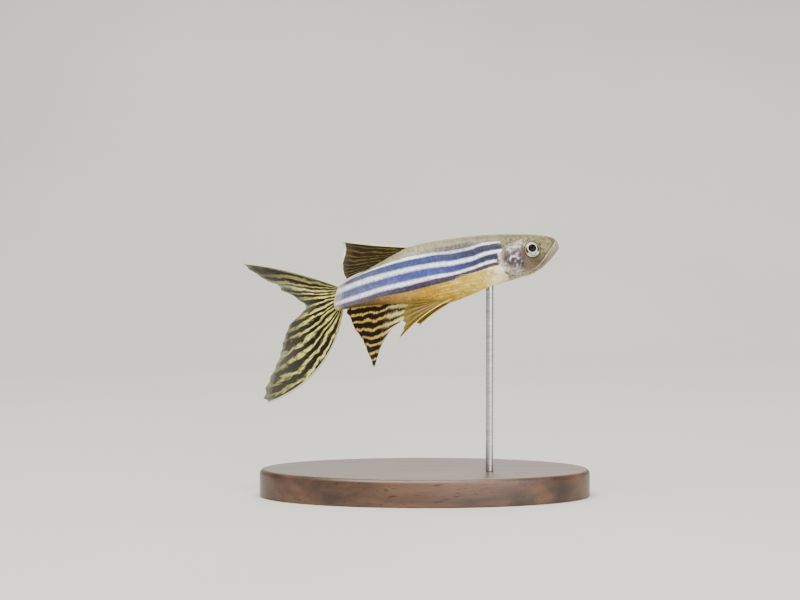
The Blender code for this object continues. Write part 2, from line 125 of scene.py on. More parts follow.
def layered(add, colour, layers):
    # Lays tints over a colour, each as strong as all the shares after it multiplied.
    for tint, share, *others in layers:
        for other in others:
            share = add("Math", (share, other), "MULTIPLY")
        tint = hexColour(tint) if isinstance(tint, str) else tint
        colour = add("Mix", {0: share, 6: colour, 7: tint}, out=2, data_type="RGBA")
    return colour


def newTree(name, inputs):
    # A Geometry Nodes tree with named inputs of (kind, value), its input sockets, and addNode for it.
    tree = bpy.data.node_groups.new(name, "GeometryNodeTree")
    for label, (kind, value) in {"Geometry": ("Geometry", None), **inputs}.items():
        socket = tree.interface.new_socket(name=label, in_out="INPUT", socket_type="NodeSocket" + kind)
        if value is not None:
            socket.default_value = value
    tree.interface.new_socket(name="Geometry", in_out="OUTPUT", socket_type="NodeSocketGeometry")
    return tree, addNode(tree, "NodeGroupInput", out=None), partial(addNode, tree)


def runTree(piece, tree, values):
    # Puts the tree's result in place of the piece's mesh.
    modifier = piece.modifiers.new(tree.name, "NODES")
    modifier.node_group = tree
    for item in tree.interface.items_tree:
        if item.in_out == "INPUT" and item.name in values:
            modifier[item.identifier] = values[item.name]
    bpy.context.view_layer.update()
    graph = bpy.context.evaluated_depsgraph_get()
    mesh = bpy.data.meshes.new_from_object(piece.evaluated_get(graph))
    piece.modifiers.clear()
    piece.data = mesh
    mesh.name = piece.name
    material = next(m for m in mesh.materials if m)
    mesh.materials.clear()
    mesh.materials.append(material)
    mesh.polygons.foreach_set("material_index", np.zeros(len(mesh.polygons), np.int32))


def smoothTable(table, at):
    # A cubic through the pairs that never overshoots them.
    x, y = np.array(table, float).T
    step, rise = np.diff(x), np.diff(y) / np.diff(x)
    slope = np.zeros(len(x))
    same = rise[:-1] * rise[1:] > 0
    slope[1:-1][same] = 2 / (1 / rise[:-1][same] + 1 / rise[1:][same])
    slope[0], slope[-1] = rise[0], rise[-1]
    at = np.clip(np.asarray(at, float), x[0], x[-1])
    i = np.clip(np.searchsorted(x, at, side="right") - 1, 0, len(x) - 2)
    t = (at - x[i]) / step[i]
    return (
        (1 + 2 * t) * (1 - t) ** 2 * y[i]
        + t * (1 - t) ** 2 * step[i] * slope[i]
        + t * t * (3 - 2 * t) * y[i + 1]
        + t * t * (t - 1) * step[i] * slope[i + 1]
    )


def sectionSize(name, share):
    # Read over the root of the share, which keeps the snout round.
    table = [(math.sqrt(f), v) for f, v in bodyForm[name]]
    return smoothTable(table, np.sqrt(np.clip(share, 0, 1)))


def between(pair, q):
    return pair[0] + (pair[1] - pair[0]) * q


def easeStep(x, start, end):
    t = np.clip((x - start) / (end - start), 0, 1)
    return t * t * (3 - 2 * t)


def bump(distance, width):
    return np.exp(-((distance / width) ** 2))


def unit(vectors):
    return vectors / np.linalg.norm(vectors, axis=-1, keepdims=True)


def travelled(points):
    # How far each point of a run lies from its first one, along the run.
    return np.concatenate([[0], np.cumsum(np.linalg.norm(np.diff(points, axis=0), axis=-1))])


def backward(share):
    # The spine's direction, towards the tail.
    slope = np.radians(smoothTable(bodyForm["slope"], share))
    sweep = np.radians(smoothTable(bodyForm["sweep"], share))
    return np.stack(
        [-np.cos(slope) * np.cos(sweep), np.sin(sweep), -np.sin(slope) * np.cos(sweep)], axis=-1
    )


spineShares = np.linspace(0, 1, bodyForm["spineSteps"] + 1)
spineRun = np.cumsum(backward(spineShares[:-1]), axis=0) * bodyForm["length"] / bodyForm["spineSteps"]
spinePoints = bodyForm["snout"] + np.concatenate([np.zeros((1, 3)), spineRun])


def spineAt(share):
    share = np.asarray(share, float)
    inside = np.stack([np.interp(share, spineShares, spinePoints[:, k]) for k in range(3)], axis=-1)
    beyond = np.clip(share - 1, 0, None)[..., None] * bodyForm["length"]
    return inside + beyond * backward(share)


def bodyFrame(share):
    # The directions to the fish's back and to its right side.
    along, roll = backward(share), np.radians(smoothTable(bodyForm["roll"], share))[..., None]
    upright = unit(np.array([0.0, 0.0, 1.0]) - along * along[..., 2:])
    right = np.cross(upright, along)
    return upright * np.cos(roll) - right * np.sin(roll), right * np.cos(roll) + upright * np.sin(roll)


def inFish(share, up, out):
    toBack, toRight = bodyFrame(share)
    return spineAt(share) + toBack * np.asarray(up)[..., None] + toRight * np.asarray(out)[..., None]


def sectionPlace(share, turn, lift=0.0, shrink=1.0):
    # How far up from the spine and out to the right the surface lies. The turn runs from 0 at the
    # back, by the right side, to half a turn at the belly.
    c, s = np.cos(turn), np.sin(turn)
    height = np.where(c > 0, sectionSize("back", share), sectionSize("belly", share)) * shrink + lift
    width = sectionSize("halfWidth", share) * shrink + lift
    power = 2 / bodyForm["roundness"]
    return np.sign(c) * np.abs(c) ** power * height, np.sign(s) * np.abs(s) ** power * width


def bodyPoint(share, turn, lift=0.0):
    share, turn = np.broadcast_arrays(np.asarray(share, float), np.asarray(turn, float))
    return inFish(share, *sectionPlace(share, turn, lift))


def headPoint(back, up, out):
    return inFish(np.asarray(back, float) / bodyForm["length"], up, out)


def sidePoint(back, up, depth):
    # Back from the snout tip and up from it, as the viewer sees it, at a depth of its own.
    back, up, depth = np.broadcast_arrays(np.asarray(back, float), up, depth)
    place = viewer["place"]
    seen = np.stack([bodyForm["snout"][0] - back, 0 * back, bodyForm["snout"][2] + up], axis=-1)
    return place + (seen - place) * ((depth - place[1]) / -place[1])[..., None]


def sideDirection(rise):
    turn = np.radians(rise)
    return np.stack([-np.cos(turn), 0 * turn, np.sin(turn)], axis=-1)


def distanceTo(path, back, up):
    # From each place of the head's side view to a run of straight lines.
    nearest = np.full(np.shape(back), 1e9)
    for (b0, u0), (b1, u1) in zip(path, path[1:]):
        db, du = b1 - b0, u1 - u0
        t = np.clip(((back - b0) * db + (up - u0) * du) / (db * db + du * du), 0, 1)
        nearest = np.minimum(nearest, np.hypot(back - b0 - t * db, up - u0 - t * du))
    return nearest


def storeValues(mesh, name, values, domain="POINT"):
    values = np.asarray(values, np.float32)
    vector = values.ndim == 2
    made = mesh.attributes.new(name, "FLOAT_VECTOR" if vector else "FLOAT", domain)
    made.data.foreach_set("vector" if vector else "value", values.ravel())


def newPiece(name, points, faces, edges=(), material=None):
    # Points are in millimetres.
    mesh = bpy.data.meshes.new(name)
    mesh.from_pydata((np.asarray(points) * mm).tolist(), edges, faces)
    mesh.update()
    piece = bpy.data.objects.new(name, mesh)
    bpy.context.scene.collection.objects.link(piece)
    if material:
        mesh.materials.append(material)
    mesh.shade_smooth()
    return piece


def faceOutwards(piece):
    shell = bmesh.new()
    shell.from_mesh(piece.data)
    bmesh.ops.recalc_face_normals(shell, faces=shell.faces)
    shell.to_mesh(piece.data)
    shell.free()


def ringFaces(rings, sides):
    # Faces over rings of points that stand between a first and a last pole.
    pairs = [(i, (i + 1) % sides) for i in range(sides)]
    last = 1 + (rings - 1) * sides
    faces = [(0, 1 + i, 1 + j) for i, j in pairs]
    for a in range(1, last, sides):
        faces += [(a + i, a + sides + i, a + sides + j, a + j) for i, j in pairs]
    return faces + [(last + j, last + i, last + sides) for i, j in pairs]


def gridRim(wide, tall):
    # The outermost points of a grid, once around.
    rim = [i * tall for i in range(wide)] + [(wide - 1) * tall + j for j in range(1, tall)]
    return rim + [i * tall + tall - 1 for i in range(wide - 2, -1, -1)] + list(range(tall - 2, 0, -1))


def finishPiece(piece, nodes):
    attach(piece, "root")
    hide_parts(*nodes)
    print(f"{piece.name}: {sum(len(p.vertices) - 2 for p in piece.data.polygons)} triangles")


# Markings. Each stripe edge is a turn from the back in degrees, read at shares of the length.
markings = {
    "shares": (0.25, 0.3, 0.37, 0.44, 0.51, 0.585, 0.66, 0.735, 0.83, 0.93, 1.0),
    "edges": (  # down the side: white, blue, white, blue, white, violet, and then the belly
        (50, 51.5, 59.3, 61.2, 58.6, 56.6, 51.5, 44.5, 35, 27, 22),
        (56.5, 58, 65, 66.5, 64, 63.5, 59.5, 52.5, 42.5, 33.5, 29),
        (72, 73.5, 80, 81, 78.5, 77, 74.5, 70.5, 64, 56.5, 51.5),
        (80.5, 82, 88, 88.5, 86.5, 85, 85, 85, 84.5, 84.5, 84.5),
        (91, 90.5, 95, 97.5, 96.5, 96.5, 98, 99, 103, 106, 106),
        (96.5, 97.5, 102.5, 103.5, 103, 105.5, 110.5, 114, 124, 130, 130),
        (103, 103.5, 107, 110, 113, 118, 125, 131, 145, 154, 156),
    ),
}

headForm = {
    "eye": (4.03, 0.3),  # back from the snout tip, and up from the spine
    "eyeRim": 1.13,
    "socketDepth": 0.62,
    "gape": [(-0.6, 1.88), (0.25, 1.08), (1.0, 0.35), (1.7, -0.28), (2.15, -0.72)],
    "maxilla": [(1.2, 1.0), (1.75, 0.4), (2.3, -0.2), (2.75, -0.75)],
    "nostril": (0.85, 1.08),
    "gillCentre": (6.4, -0.6),
    "gillRadius": 2.5,
    "gillLeast": 7.9,  # how far back the head reaches at least
    # painted reddish-brown shade on the cheek behind the eye
    "flush": ((5.2, 0.55), (-0.1, 1.15)),  # middle and width, backwards and upwards
    "gillLift": 0.07,
    "cheekLine": [(5.2, 1.1), (5.45, 0.2), (5.64, -0.88), (5.95, -1.9), (5.3, -2.6), (4.2, -2.75)],
    "gillRidge": [(7.5, -0.5), (7.2, -0.08), (6.5, -0.17), (6.22, -0.62)],
}


def gillEdge(up):
    # How far back the gill cover reaches at a height, and with it the head.
    (back, middle), radius = headForm["gillCentre"], headForm["gillRadius"]
    return np.maximum(back + np.sqrt(np.clip(radius**2 - (up - middle) ** 2, 0, None)), headForm["gillLeast"])


def headAway(back, up):
    # Distances from the middles of the eye and the nostril, and from the gill cover's edge.
    middles = (headForm[part] for part in ("eye", "nostril", "gillCentre"))
    eye, nostril, gill = (np.hypot(back - b, up - u) for b, u in middles)
    return eye, nostril, gill - headForm["gillRadius"]


def headRelief(back, up, out):
    # Height of the skin's own detail over the plain form, in millimetres.
    form = headForm
    eyeAway, nostril, gill = headAway(back, up)
    outside = easeStep(np.abs(out), 0.5, 0.9)
    gape = distanceTo(form["gape"], back, up)
    relief = -0.1 * bump(gape, 0.06) + 0.03 * bump(gape - 0.22, 0.12)
    relief -= 0.035 * bump(distanceTo(form["maxilla"], back, up), 0.07) * outside
    relief += 0.035 * bump(nostril - 0.2, 0.07) - 0.14 * bump(nostril, 0.11)
    socket = 1 - easeStep(eyeAway, form["eyeRim"] - 0.13, form["eyeRim"] + 0.02)
    relief += outside * (0.045 * bump(eyeAway - 1.23, 0.08) - 0.03 * bump(eyeAway - 1.42, 0.08))
    relief = relief * (1 - socket * outside) - form["socketDepth"] * socket * outside
    behind = easeStep(back, 5.2, 6.6) * (0.35 + 0.65 * (1 - easeStep(up, 0.2, 1.4)))
    relief += form["gillLift"] * (1 - easeStep(gill, -0.1, 0.02)) * behind * outside
    relief -= 0.05 * bump(gill - 0.08, 0.12) * behind * outside
    relief -= 0.06 * bump(distanceTo(form["cheekLine"], back, up), 0.09) * outside
    relief += 0.05 * bump(distanceTo(form["gillRidge"], back, up), 0.12) * outside
    relief -= 0.03 * bump(eyeAway - 1.75, 0.08) * outside * easeStep(-up, 0.0, 0.8)
    throat = easeStep(-up, 1.2, 1.9) * easeStep(back, 1.8, 2.6) * (1 - easeStep(back, 7.6, 8.6))
    return relief - 0.07 * bump(np.abs(out) - 0.45, 0.09) * throat


def headMarks(back, up, out):
    # Violet, dark and pale marks, each from 0 to 1. The dark marks are partly pigment spots and partly
    # painted shade in grooves, pits and around the eye; the pale marks include a painted highlight on the
    # gill cover's ridge.
    form = headForm
    eyeAway, nostril, gill = headAway(back, up)
    outside = easeStep(np.abs(out), 0.4, 0.9)
    violet = np.exp(-(((back - 7.15) / 1.5) ** 4) - ((up + 0.05) / 1.7) ** 4)
    violet = violet + 0.6 * np.exp(-(((back - 5.75) / 0.5) ** 2) - ((up + 0.6) / 1.1) ** 2)
    violet *= 1 - easeStep(gill, -0.75, -0.1)
    # painted shade in the mouth line
    dark = 0.35 * bump(distanceTo(form["gape"], back, up), 0.06)
    dark += 0.45 * bump(distanceTo([(0.55, 1.2), (1.25, 1.05)], back, up), 0.09)
    # painted shade in the nostril pit
    dark += bump(nostril, 0.14)
    # painted shade along the cheek groove
    dark += 0.9 * bump(distanceTo([(5.5, -0.5), (5.64, -0.88), (6.0, -2.1)], back, up), 0.11) * outside
    # painted shade where the skin dips into the eye socket
    dark += 0.55 * bump(eyeAway - 1.16, 0.06) * outside
    # painted shade under the eye
    dark += 0.45 * bump(eyeAway - 1.27, 0.14) * easeStep(-up, 0.3, 0.9) * outside
    dark += 0.7 * bump(np.hypot((back - 3.42) / 1.7, up - 1.52), 0.13) * outside
    pale = 0.8 * bump(gill - 0.2, 0.45) * easeStep(back, 8.1, 8.6) * easeStep(1.3 - up, 0, 0.6) * outside
    pale = pale * easeStep(up + 2.3, 0, 0.7)
    # painted highlight along the gill cover's raised ridge
    pale += bump(distanceTo(form["gillRidge"], back, up), 0.11) * outside
    pale += 0.5 * bump(distanceTo([(5.5, 1.45), (6.3, 1.2), (7.3, 0.95)], back, up), 0.48) * outside
    pale += 0.42 * bump(distanceTo([(6.4, -2.5), (7.6, -2.05), (8.4, -1.6)], back, up), 0.55) * outside
    return np.clip(np.stack([violet * outside, dark, pale], axis=-1), 0, 1)


def headZones(back, up):
    # The head itself, its lower jaw, and the gilded cheek, each from 0 to 1.
    width = 0.14 + 0.8 * easeStep(up, 1.0, 1.9) + 0.5 * easeStep(-up, 1.7, 2.6)
    reach = 0.5 * bump(up + 0.4, 0.5) - 0.04
    head = 1 - np.clip((back - gillEdge(up) - reach) / width, 0, 1)
    (b0, u0), (b1, u1) = headForm["gape"][0], headForm["gape"][-1]
    ahead = ((back - b0) * (u1 - u0) - (up - u0) * (b1 - b0)) / math.hypot(b1 - b0, u1 - u0)
    jaw = easeStep(ahead, 0.0, 0.12) * (1 - easeStep(back, 2.2, 3.6))
    cheek = np.exp(-(((back - 3.7) / 1.6) ** 2) - ((up + 1.35) / 0.95) ** 2)
    return np.stack([head, jaw, cheek], axis=-1)


def stripeAt(share, girth):
    # 0 at the back and 1 at the belly, with each stripe edge at a fixed eighth.
    edges = [smoothTable(list(zip(markings["shares"], e)), share) / 180 for e in markings["edges"]]
    # the back and the belly are drawn together at their far ends, so that their edges stay crisp
    place = np.clip(girth / edges[0], 0, 1) ** 5 / 8
    for low, high in zip(edges, edges[1:]):
        place += np.clip((girth - low) / (high - low), 0, 1) / 8
    return place + (1 - (1 - np.clip((girth - edges[-1]) / (1 - edges[-1]), 0, 1)) ** 5) / 8


skinLook = {
    "inset": 0.07,  # of the skin under the solids' surface, the coat's depth
    "columns": 208,
    "headRows": 212,
    "headEnd": 0.262,
    "reliefEnd": 0.252,  # where the head's own relief starts to fade
    "headCrowding": 1.35,
    "trunkRows": 126,
    "capRows": 14,
    "snoutRows": 40, "snoutPasses": 14,  # smoothing that rounds the snout off
    "capLength": 1.25,  # of the rounded end that the tail fin grows out of
}


def buildSkin(material):
    look, length = skinLook, bodyForm["length"]
    count, snout = look["columns"], look["snoutRows"]
    head = np.arange(1, look["headRows"] + 1) / look["headRows"]
    head = look["headEnd"] * head ** look["headCrowding"]
    trunk = np.linspace(look["headEnd"], 1.0, look["trunkRows"] + 1)[1:]
    capTurn = np.linspace(0, math.pi / 2, look["capRows"] + 2)[1:-1]
    shares = np.concatenate([head, trunk, 1 + look["capLength"] / length * np.sin(capTurn)])
    shrink = np.concatenate([np.ones(len(head) + len(trunk)), np.cos(capTurn)])[:, None]
    turns = 2 * math.pi * np.arange(count) / count
    share, turn = np.meshgrid(shares, turns, indexing="ij")
    up, out = sectionPlace(share, turn, 0.0, shrink)
    points = inFish(share, up, out)
    for _ in range(look["snoutPasses"]):
        # The rows run on through the tip, to the other side of the head
        across = np.roll(points[:snout], count // 2, axis=1)[::-1]
        run = np.concatenate([across, np.broadcast_to(spineAt(0.0), (1, count, 3)), points])
        pulled = (run[snout : 2 * snout] + run[snout + 2 : 2 * snout + 2]) / 2
        points[:snout] += (pulled - points[:snout]) * np.linspace(1, 0, snout)[:, None, None] * 0.5
    alongWay = np.gradient(points, axis=0)
    aroundWay = np.roll(points, -1, axis=1) - np.roll(points, 1, axis=1)
    outward = unit(np.cross(alongWay, aroundWay))
    if np.mean(np.sum(outward * (points - spineAt(share)), axis=-1)) < 0:
        outward = -outward
    back = share * length
    onHead = 1 - easeStep(share, look["reliefEnd"], look["headEnd"])
    relief = headRelief(back, up, out) * onHead - look["inset"]
    points = points + outward * relief[..., None]

    rows = len(shares)
    snoutTip = points[0].mean(axis=0)
    tailEnd = spineAt(1 + look["capLength"] / length)
    every = np.concatenate([points.reshape(-1, 3), [snoutTip, tailEnd]])
    r, c = np.meshgrid(np.arange(rows - 1), np.arange(count), indexing="ij")
    nextC = (c + 1) % count
    here, below = r * count, (r + 1) * count
    quads = np.stack([here + c, below + c, below + nextC, here + nextC], -1)
    first, last = rows * count, rows * count + 1
    base = (rows - 1) * count
    tips = [(first, i, (i + 1) % count) for i in range(count)]
    ends = [(last, base + (i + 1) % count, base + i) for i in range(count)]
    piece = newPiece("fishSkin", every, quads.reshape(-1, 4).tolist() + tips + ends, material=material)

    girth = 1 - np.abs(1 - turn / math.pi)
    stepAround = np.linalg.norm(aroundWay, axis=-1) / 2
    half = count // 2
    arc = np.cumsum(stepAround[:, : half + 1], axis=1)
    arc = np.concatenate([arc, arc[:, half - 1 : 0 : -1]], axis=1)

    # A painted reddish-brown shade on the cheek behind the eye
    (shadeBack, shadeLong), (shadeUp, shadeHigh) = headForm["flush"]
    flush = np.exp(-(((back - shadeBack) / shadeLong) ** 2) - ((up - shadeUp) / shadeHigh) ** 2)
    for name, values, tip, end in (  # each with its values at the snout tip and at the tail's end
        ("stripe", stripeAt(share, girth), 0.3, 0.5),
        ("along", share, 0.0, shares[-1]),
        ("girth", girth, 0.3, 0.5),
        ("marks", headMarks(back, up, out) * onHead[..., None], 0.0, 0.0),
        ("zones", headZones(back, up), (1.0, 0.6, 0.0), 0.0),
        ("flush", flush * easeStep(np.abs(out), 0.4, 0.9), 0.0, 0.0),
        ("lie", np.stack([back, arc, out], axis=-1), 0.0, 0.0),
        ("vane", np.broadcast_to([0.5, 0.0, 0.5], share.shape + (3,)), 0.5, 0.5),
    ):
        shape = values.shape[2:]
        poles = np.array([np.broadcast_to(tip, shape), np.broadcast_to(end, shape)])
        storeValues(piece.data, name, np.concatenate([values.reshape((rows * count,) + shape), poles]))

    # Unwrapped along the body and around it, with the seam along the back
    way = travelled(points[:, half // 2])
    v = 0.01 + 0.98 * way / way[-1]
    u0, u1 = c / count, (c + 1) / count
    v0, v1 = v[r], v[r + 1]
    corners = np.stack([np.stack(pair, -1) for pair in ((u0, v0), (u0, v1), (u1, v1), (u1, v0))], 2)
    tipUv, endUv = [], []
    for i in range(count):
        left, middle, right = i / count, (i + 0.5) / count, (i + 1) / count
        tipUv += [(middle, 0.0), (left, v[0]), (right, v[0])]
        endUv += [(middle, 1.0), (right, v[-1]), (left, v[-1])]
    uv = np.concatenate([corners.reshape(-1, 2), tipUv, endUv])
    mesh = piece.data
    mesh.uv_layers.new(name="OFBake").uv.foreach_set("vector", uv.astype(np.float32).ravel())
    faceOutwards(piece)
    mesh = piece.data
    normals = np.zeros(len(mesh.vertices) * 3, np.float32)
    mesh.vertices.foreach_get("normal", normals)
    storeValues(mesh, "outward", normals.reshape(-1, 3))
    return piece, {"shares": shares, "v": v}


# Fish skin: silver crystals and dark, blue and yellow pigment under thin wet slime. It looks glossy,
# a little metallic on the pale stripes, and broken up into fine dots everywhere.
skinColours = {
    # scales for each metre, and details, of the noise from half a millimetre down to a tenth:
    # jags, patches, mottle, dapples, specks and pits
    "noise": ((3800.0, 3.0), (1700.0, 3.0), (2300.0, 3.0), (2900.0, 3.0), (7500.0, 2.0), (5200.0, 2.0)),
    "front": [
        (0.0, "#6b6950"), (0.05, "#736f57"), (0.112, "#5f5b5c"), (0.122, "#67656b"), (0.14, "#a9aea8"),
        (0.185, "#dde1da"), (0.225, "#a9afb3"), (0.247, "#3b415c"), (0.26, "#0f1327"), (0.355, "#0e1225"),
        (0.37, "#2f3450"), (0.39, "#a5abb8"), (0.435, "#ffffff"), (0.48, "#a5abb8"), (0.502, "#2c3048"),
        (0.515, "#191b2d"), (0.61, "#1b1c2f"), (0.625, "#4a4450"), (0.645, "#b3a9b2"), (0.69, "#fff6fa"),
        (0.73, "#ab9fa8"), (0.755, "#372b33"), (0.862, "#41363a"), (0.888, "#b09a5c"), (1.0, "#c7bf98"),
    ],
    "rear": [
        (0.0, "#817d61"), (0.06, "#898569"), (0.112, "#858186"), (0.122, "#8d8b94"), (0.14, "#c4cbd6"),
        (0.19, "#ffffff"), (0.23, "#a2abc6"), (0.247, "#505a88"), (0.26, "#2d3763"), (0.355, "#333e70"),
        (0.37, "#4f598c"), (0.39, "#b5bdd6"), (0.44, "#ffffff"), (0.48, "#b5bdd6"), (0.502, "#525c92"),
        (0.515, "#38427a"), (0.61, "#454e92"), (0.627, "#6f729f"), (0.645, "#cbcbe0"), (0.69, "#ffffff"),
        (0.73, "#c5bfd3"), (0.757, "#3d3547"), (0.862, "#322a3a"), (0.888, "#a07b36"), (1.0, "#8f7438"),
    ],
    "belly": [  # along the body
        (0.24, "#d3caa0"), (0.29, "#f6ecb4"), (0.34, "#dcbc46"), (0.44, "#ae8a16"), (0.56, "#a98222"),
        (0.66, "#a2803a"), (0.76, "#6f5428"), (0.86, "#4f3e22"), (1.0, "#6b6048"),
    ],
    "head": [
        (0.0, "#5a553a"), (0.2, "#5d573d"), (0.36, "#675e46"), (0.5, "#6d5f49"), (0.62, "#705f49"),
        (0.74, "#7b6a53"), (0.86, "#9a8b6d"), (1.0, "#c0b18c"),
    ],
    "blueMask": [
        (0.0, "#000000"), (0.25, "#000000"), (0.265, "#ffffff"), (0.365, "#ffffff"), (0.38, "#000000"),
        (0.5, "#000000"), (0.515, "#ffffff"), (0.615, "#ffffff"), (0.63, "#000000"), (0.75, "#000000"),
        (0.765, "#ffffff"), (0.865, "#ffffff"), (0.88, "#000000"),
    ],
    "violetPatch": [
        (0.0, "#171017"), (0.4, "#2c212e"), (0.58, "#4b3b4a"), (0.74, "#7a6b7c"), (1.0, "#cfc6cc"),
    ],
    "bandSides": [
        (0.02, "#000000"), (0.05, "#ffffff"), (0.125, "#ffffff"), (0.15, "#cfcfcf"), (0.2, "#bcbcbc"),
        (0.24, "#000000"),
    ],
    "bandLength": [(0.3, "#000000"), (0.37, "#ffffff"), (0.45, "#ffffff"), (0.58, "#000000")],
    "blueTint": "#4b4175",
    "tealTint": "#385877",
    # painted reddish-brown shade behind the eye
    "flush": "#5f3f33",
    "fleck": "#8b8a3e",
    "freckle": "#2f2a1c",
    "jaw": "#948c77",
    "snout": "#78724f",
    "cheek": "#4b3b23",
    "pale": "#f3ede5",
    "dark": "#2b2620",
    "backDot": "#3c3a2c",
    "backBand": "#332e35",
    "bellyShine": "#fbe9a0",
    "tailGrey": "#8b8a9a",
    "tailRoot": "#d2c5a6",
}


def skinMaterial(name, scaly):
    look = skinColours
    material, surface, add = newMaterial(name)
    stripeField, along, girth, flush = (
        add("Attribute", out="Fac", attribute_name=field) for field in ("stripe", "along", "girth", "flush")
    )
    lie, *fields = (
        add("Attribute", out="Vector", attribute_name=field) for field in ("lie", "marks", "zones", "vane")
    )
    (violetMark, darkMark, paleMark), (headZone, jawZone, cheekZone), (vaneAlong, _, vaneTone) = (
        add("SeparateXYZ", (field,), out=None) for field in fields
    )
    place = add("TexCoord", out="Object")
    jag, patches, mottle, dapple, speck, pits = (
        add("TexNoise", {"Vector": place, "Scale": scale, "Detail": detail})
        for scale, detail in look["noise"]
    )

    # Stripe edges are a little ragged, and the stripes end raggedly at the head
    stripe = add("Math", (stripeField, add("MapRange", (jag, 0.3, 0.7, -0.007, 0.007))))
    front, rear, blue, bandSides = (
        add("ValToRGB", (stripe,), stops=look[part]) for part in ("front", "rear", "blueMask", "bandSides")
    )
    toRear = add("MapRange", (along, 0.28, 0.56), interpolation_type="SMOOTHSTEP")
    head = add("ValToRGB", (girth,), stops=look["head"])
    ragged = add("Math", (headZone, add("MapRange", (jag, 0.3, 0.7, -0.3, 0.3))))
    onHead = add("MapRange", (ragged, 0.3, 0.7))

    # Violet and teal patches over the blue
    toViolet = add("MapRange", (patches, 0.52, 0.7, 0.0, 0.4))
    toTeal = add("MapRange", (patches, 0.46, 0.3, 0.0, 0.35))
    violet = add("ValToRGB", (add("MapRange", (mottle, 0.3, 0.72)),), stops=look["violetPatch"])

    # Single pigment cells, drawn at a fifth of a millimetre so that they show
    cells = add("TexVoronoi", {"Vector": place, "Scale": 4600.0, "Randomness": 1.0}, out=None)
    cellDot = add("MapRange", (cells["Distance"], 0.42, 0.22))
    chosen = add("Math", (add("SeparateXYZ", (cells["Color"],)), 0.55), "GREATER_THAN")
    onBack = add("MapRange", (stripeField, 0.135, 0.11))

    # The belly goes from cream to gold, and to brown along the root of the anal fin
    onBelly = add("MapRange", (stripe, 0.872, 0.887))
    alongBelly = add("Math", (along, add("MapRange", (patches, 0.0, 1.0, -0.05, 0.05))))
    belly = add("ValToRGB", (alongBelly,), stops=look["belly"])

    # A dark band of dots over the upper white stripe, in the middle of the back
    bandLength = add("ValToRGB", (along,), stops=look["bandLength"])
    bandDots = add("MapRange", (jag, 0.36, 0.52, 0.35, 0.95))

    # The belly's glistening streaks are painted sheen, and the blue turns grey and then pale at the tail
    stretch = add("Mapping", {0: lie, 3: (0.55, 3.2, 1.0)})
    streak = add("TexNoise", {"Vector": stretch, "Scale": 1.0, "Detail": 3.0})
    shine = add("MapRange", (streak, 0.5, 0.64, 0.0, 0.38))
    ahead = add("MapRange", (along, 0.6, 0.38))
    tailGrey = add("MapRange", (along, 0.62, 0.92, 0.0, 0.36))
    tailRoot = add("MapRange", (along, 0.945, 1.01, 0.0, 0.9))
    rootPatch = add("MapRange", (patches, 0.34, 0.56, 0.3))

    # Olive gold flecks and dark freckles on the head
    snoutward = add("MapRange", (along, 0.11, 0.04, 0.0, 0.7))
    fleck = add("MapRange", (dapple, 0.52, 0.64, 0.0, 0.55))
    freckle = add("MapRange", (dapple, 0.46, 0.36, 0.0, 0.75))
    high = add("MapRange", (girth, 0.62, 0.4))
    for _ in (0, 1):
        high = add("Math", (high, headZone), "MULTIPLY")
    patchy = add("MapRange", (dapple, 0.35, 0.6, 0.25))

    # From the ground up
    colour = layered(
        add,
        front,
        (
            (rear, toRear),
            (look["blueTint"], toViolet, blue),
            (look["tealTint"], toTeal, blue),
            (belly, onBelly),
            # painted sheen in streaks on the front of the belly
            (look["bellyShine"], shine, ahead, onBelly),
            (look["tailGrey"], tailGrey, blue),
            (look["tailRoot"], tailRoot, rootPatch),
            (look["backBand"], bandSides, bandLength, bandDots),
            (head, onHead),
            (look["snout"], snoutward, headZone),
            # painted reddish-brown shade behind the eye
            (look["flush"], flush, patchy, 0.8),
            (look["fleck"], fleck, high),
            (look["freckle"], freckle, headZone),
            (look["jaw"], jawZone, 0.85),
            (look["cheek"], cheekZone, 0.85),
            (violet, violetMark, 0.9),
            (look["backDot"], cellDot, chosen, onBack, 0.55),
            # dark marks: pigment spots, and painted shade in the head's grooves, pits and around the eye
            (look["dark"], darkMark, 0.85),
            # pale marks, among them a painted highlight on the gill cover's ridge
            (look["pale"], paleMark, patchy, 0.95),
        ),
    )

    # A tone for each streak, each cell and each scale. Each scale is darker at its root and its rim: painted
    # shade where it comes out from under the scale before it, and along its rear edge
    tone = add("MapRange", (streak, 0.3, 0.7, 0.86, 1.1))
    tones = [(speck, 0.34, 0.66, 0.74, 1.2)]
    if scaly:
        # a random tone for each scale, and painted shade at its root that lightens towards the rear
        tones += [(vaneTone, 0.0, 1.0, 0.82, 1.14), (vaneAlong, 0.25, 0.8, 0.86, 1.1)]
        # painted shade along each scale's rear edge
        tones += [(vaneAlong, 0.84, 1.0, 1.0, 0.72)]
    for limits in tones:
        tone = add("Math", (tone, add("MapRange", limits)), "MULTIPLY")
    colour = add(
        "Mix", {0: 1.0, 6: colour, 7: tone}, out=2, data_type="RGBA", blend_type="MULTIPLY", clamp_result=True
    )
    height = add("Math", (pits, cells["Distance"]))
    setInputs(
        surface,
        {
            "Base Color": colour,
            "Roughness": add("MapRange", (patches, 0.3, 0.7, 0.4, 0.56)),
            "Normal": add("Bump", {"Strength": 0.35, "Distance": 0.02 * mm, "Height": height}),
            "Metallic": 0.06,
            "Specular IOR Level": 0.4,
            "IOR": 1.34,
            "Coat Weight": 0.08,
            "Coat Roughness": 0.25,
        },
    )
    return material


scaleCoat = {
    "rows": 26,  # around the body, and even, so that they interlock
    "share": (0.268, 0.985),
    "pitch": (0.96, 0.62),  # from scale to scale of a row, at the shoulder and at the tail
    "overlap": 1.42,  # a scale's length, in pitches
    "across": 5, "along": 6,  # points of one scale
    "rearRound": 0.42,
    "rearNarrow": 0.12,
    "ringSteps": 720,
    "spread": 1.08,  # its width, in double rows
    "lift": 0.028,  # of its rear edge
    "patch": 0.003,  # of its place on the unwrap
    "seed": 11,
}


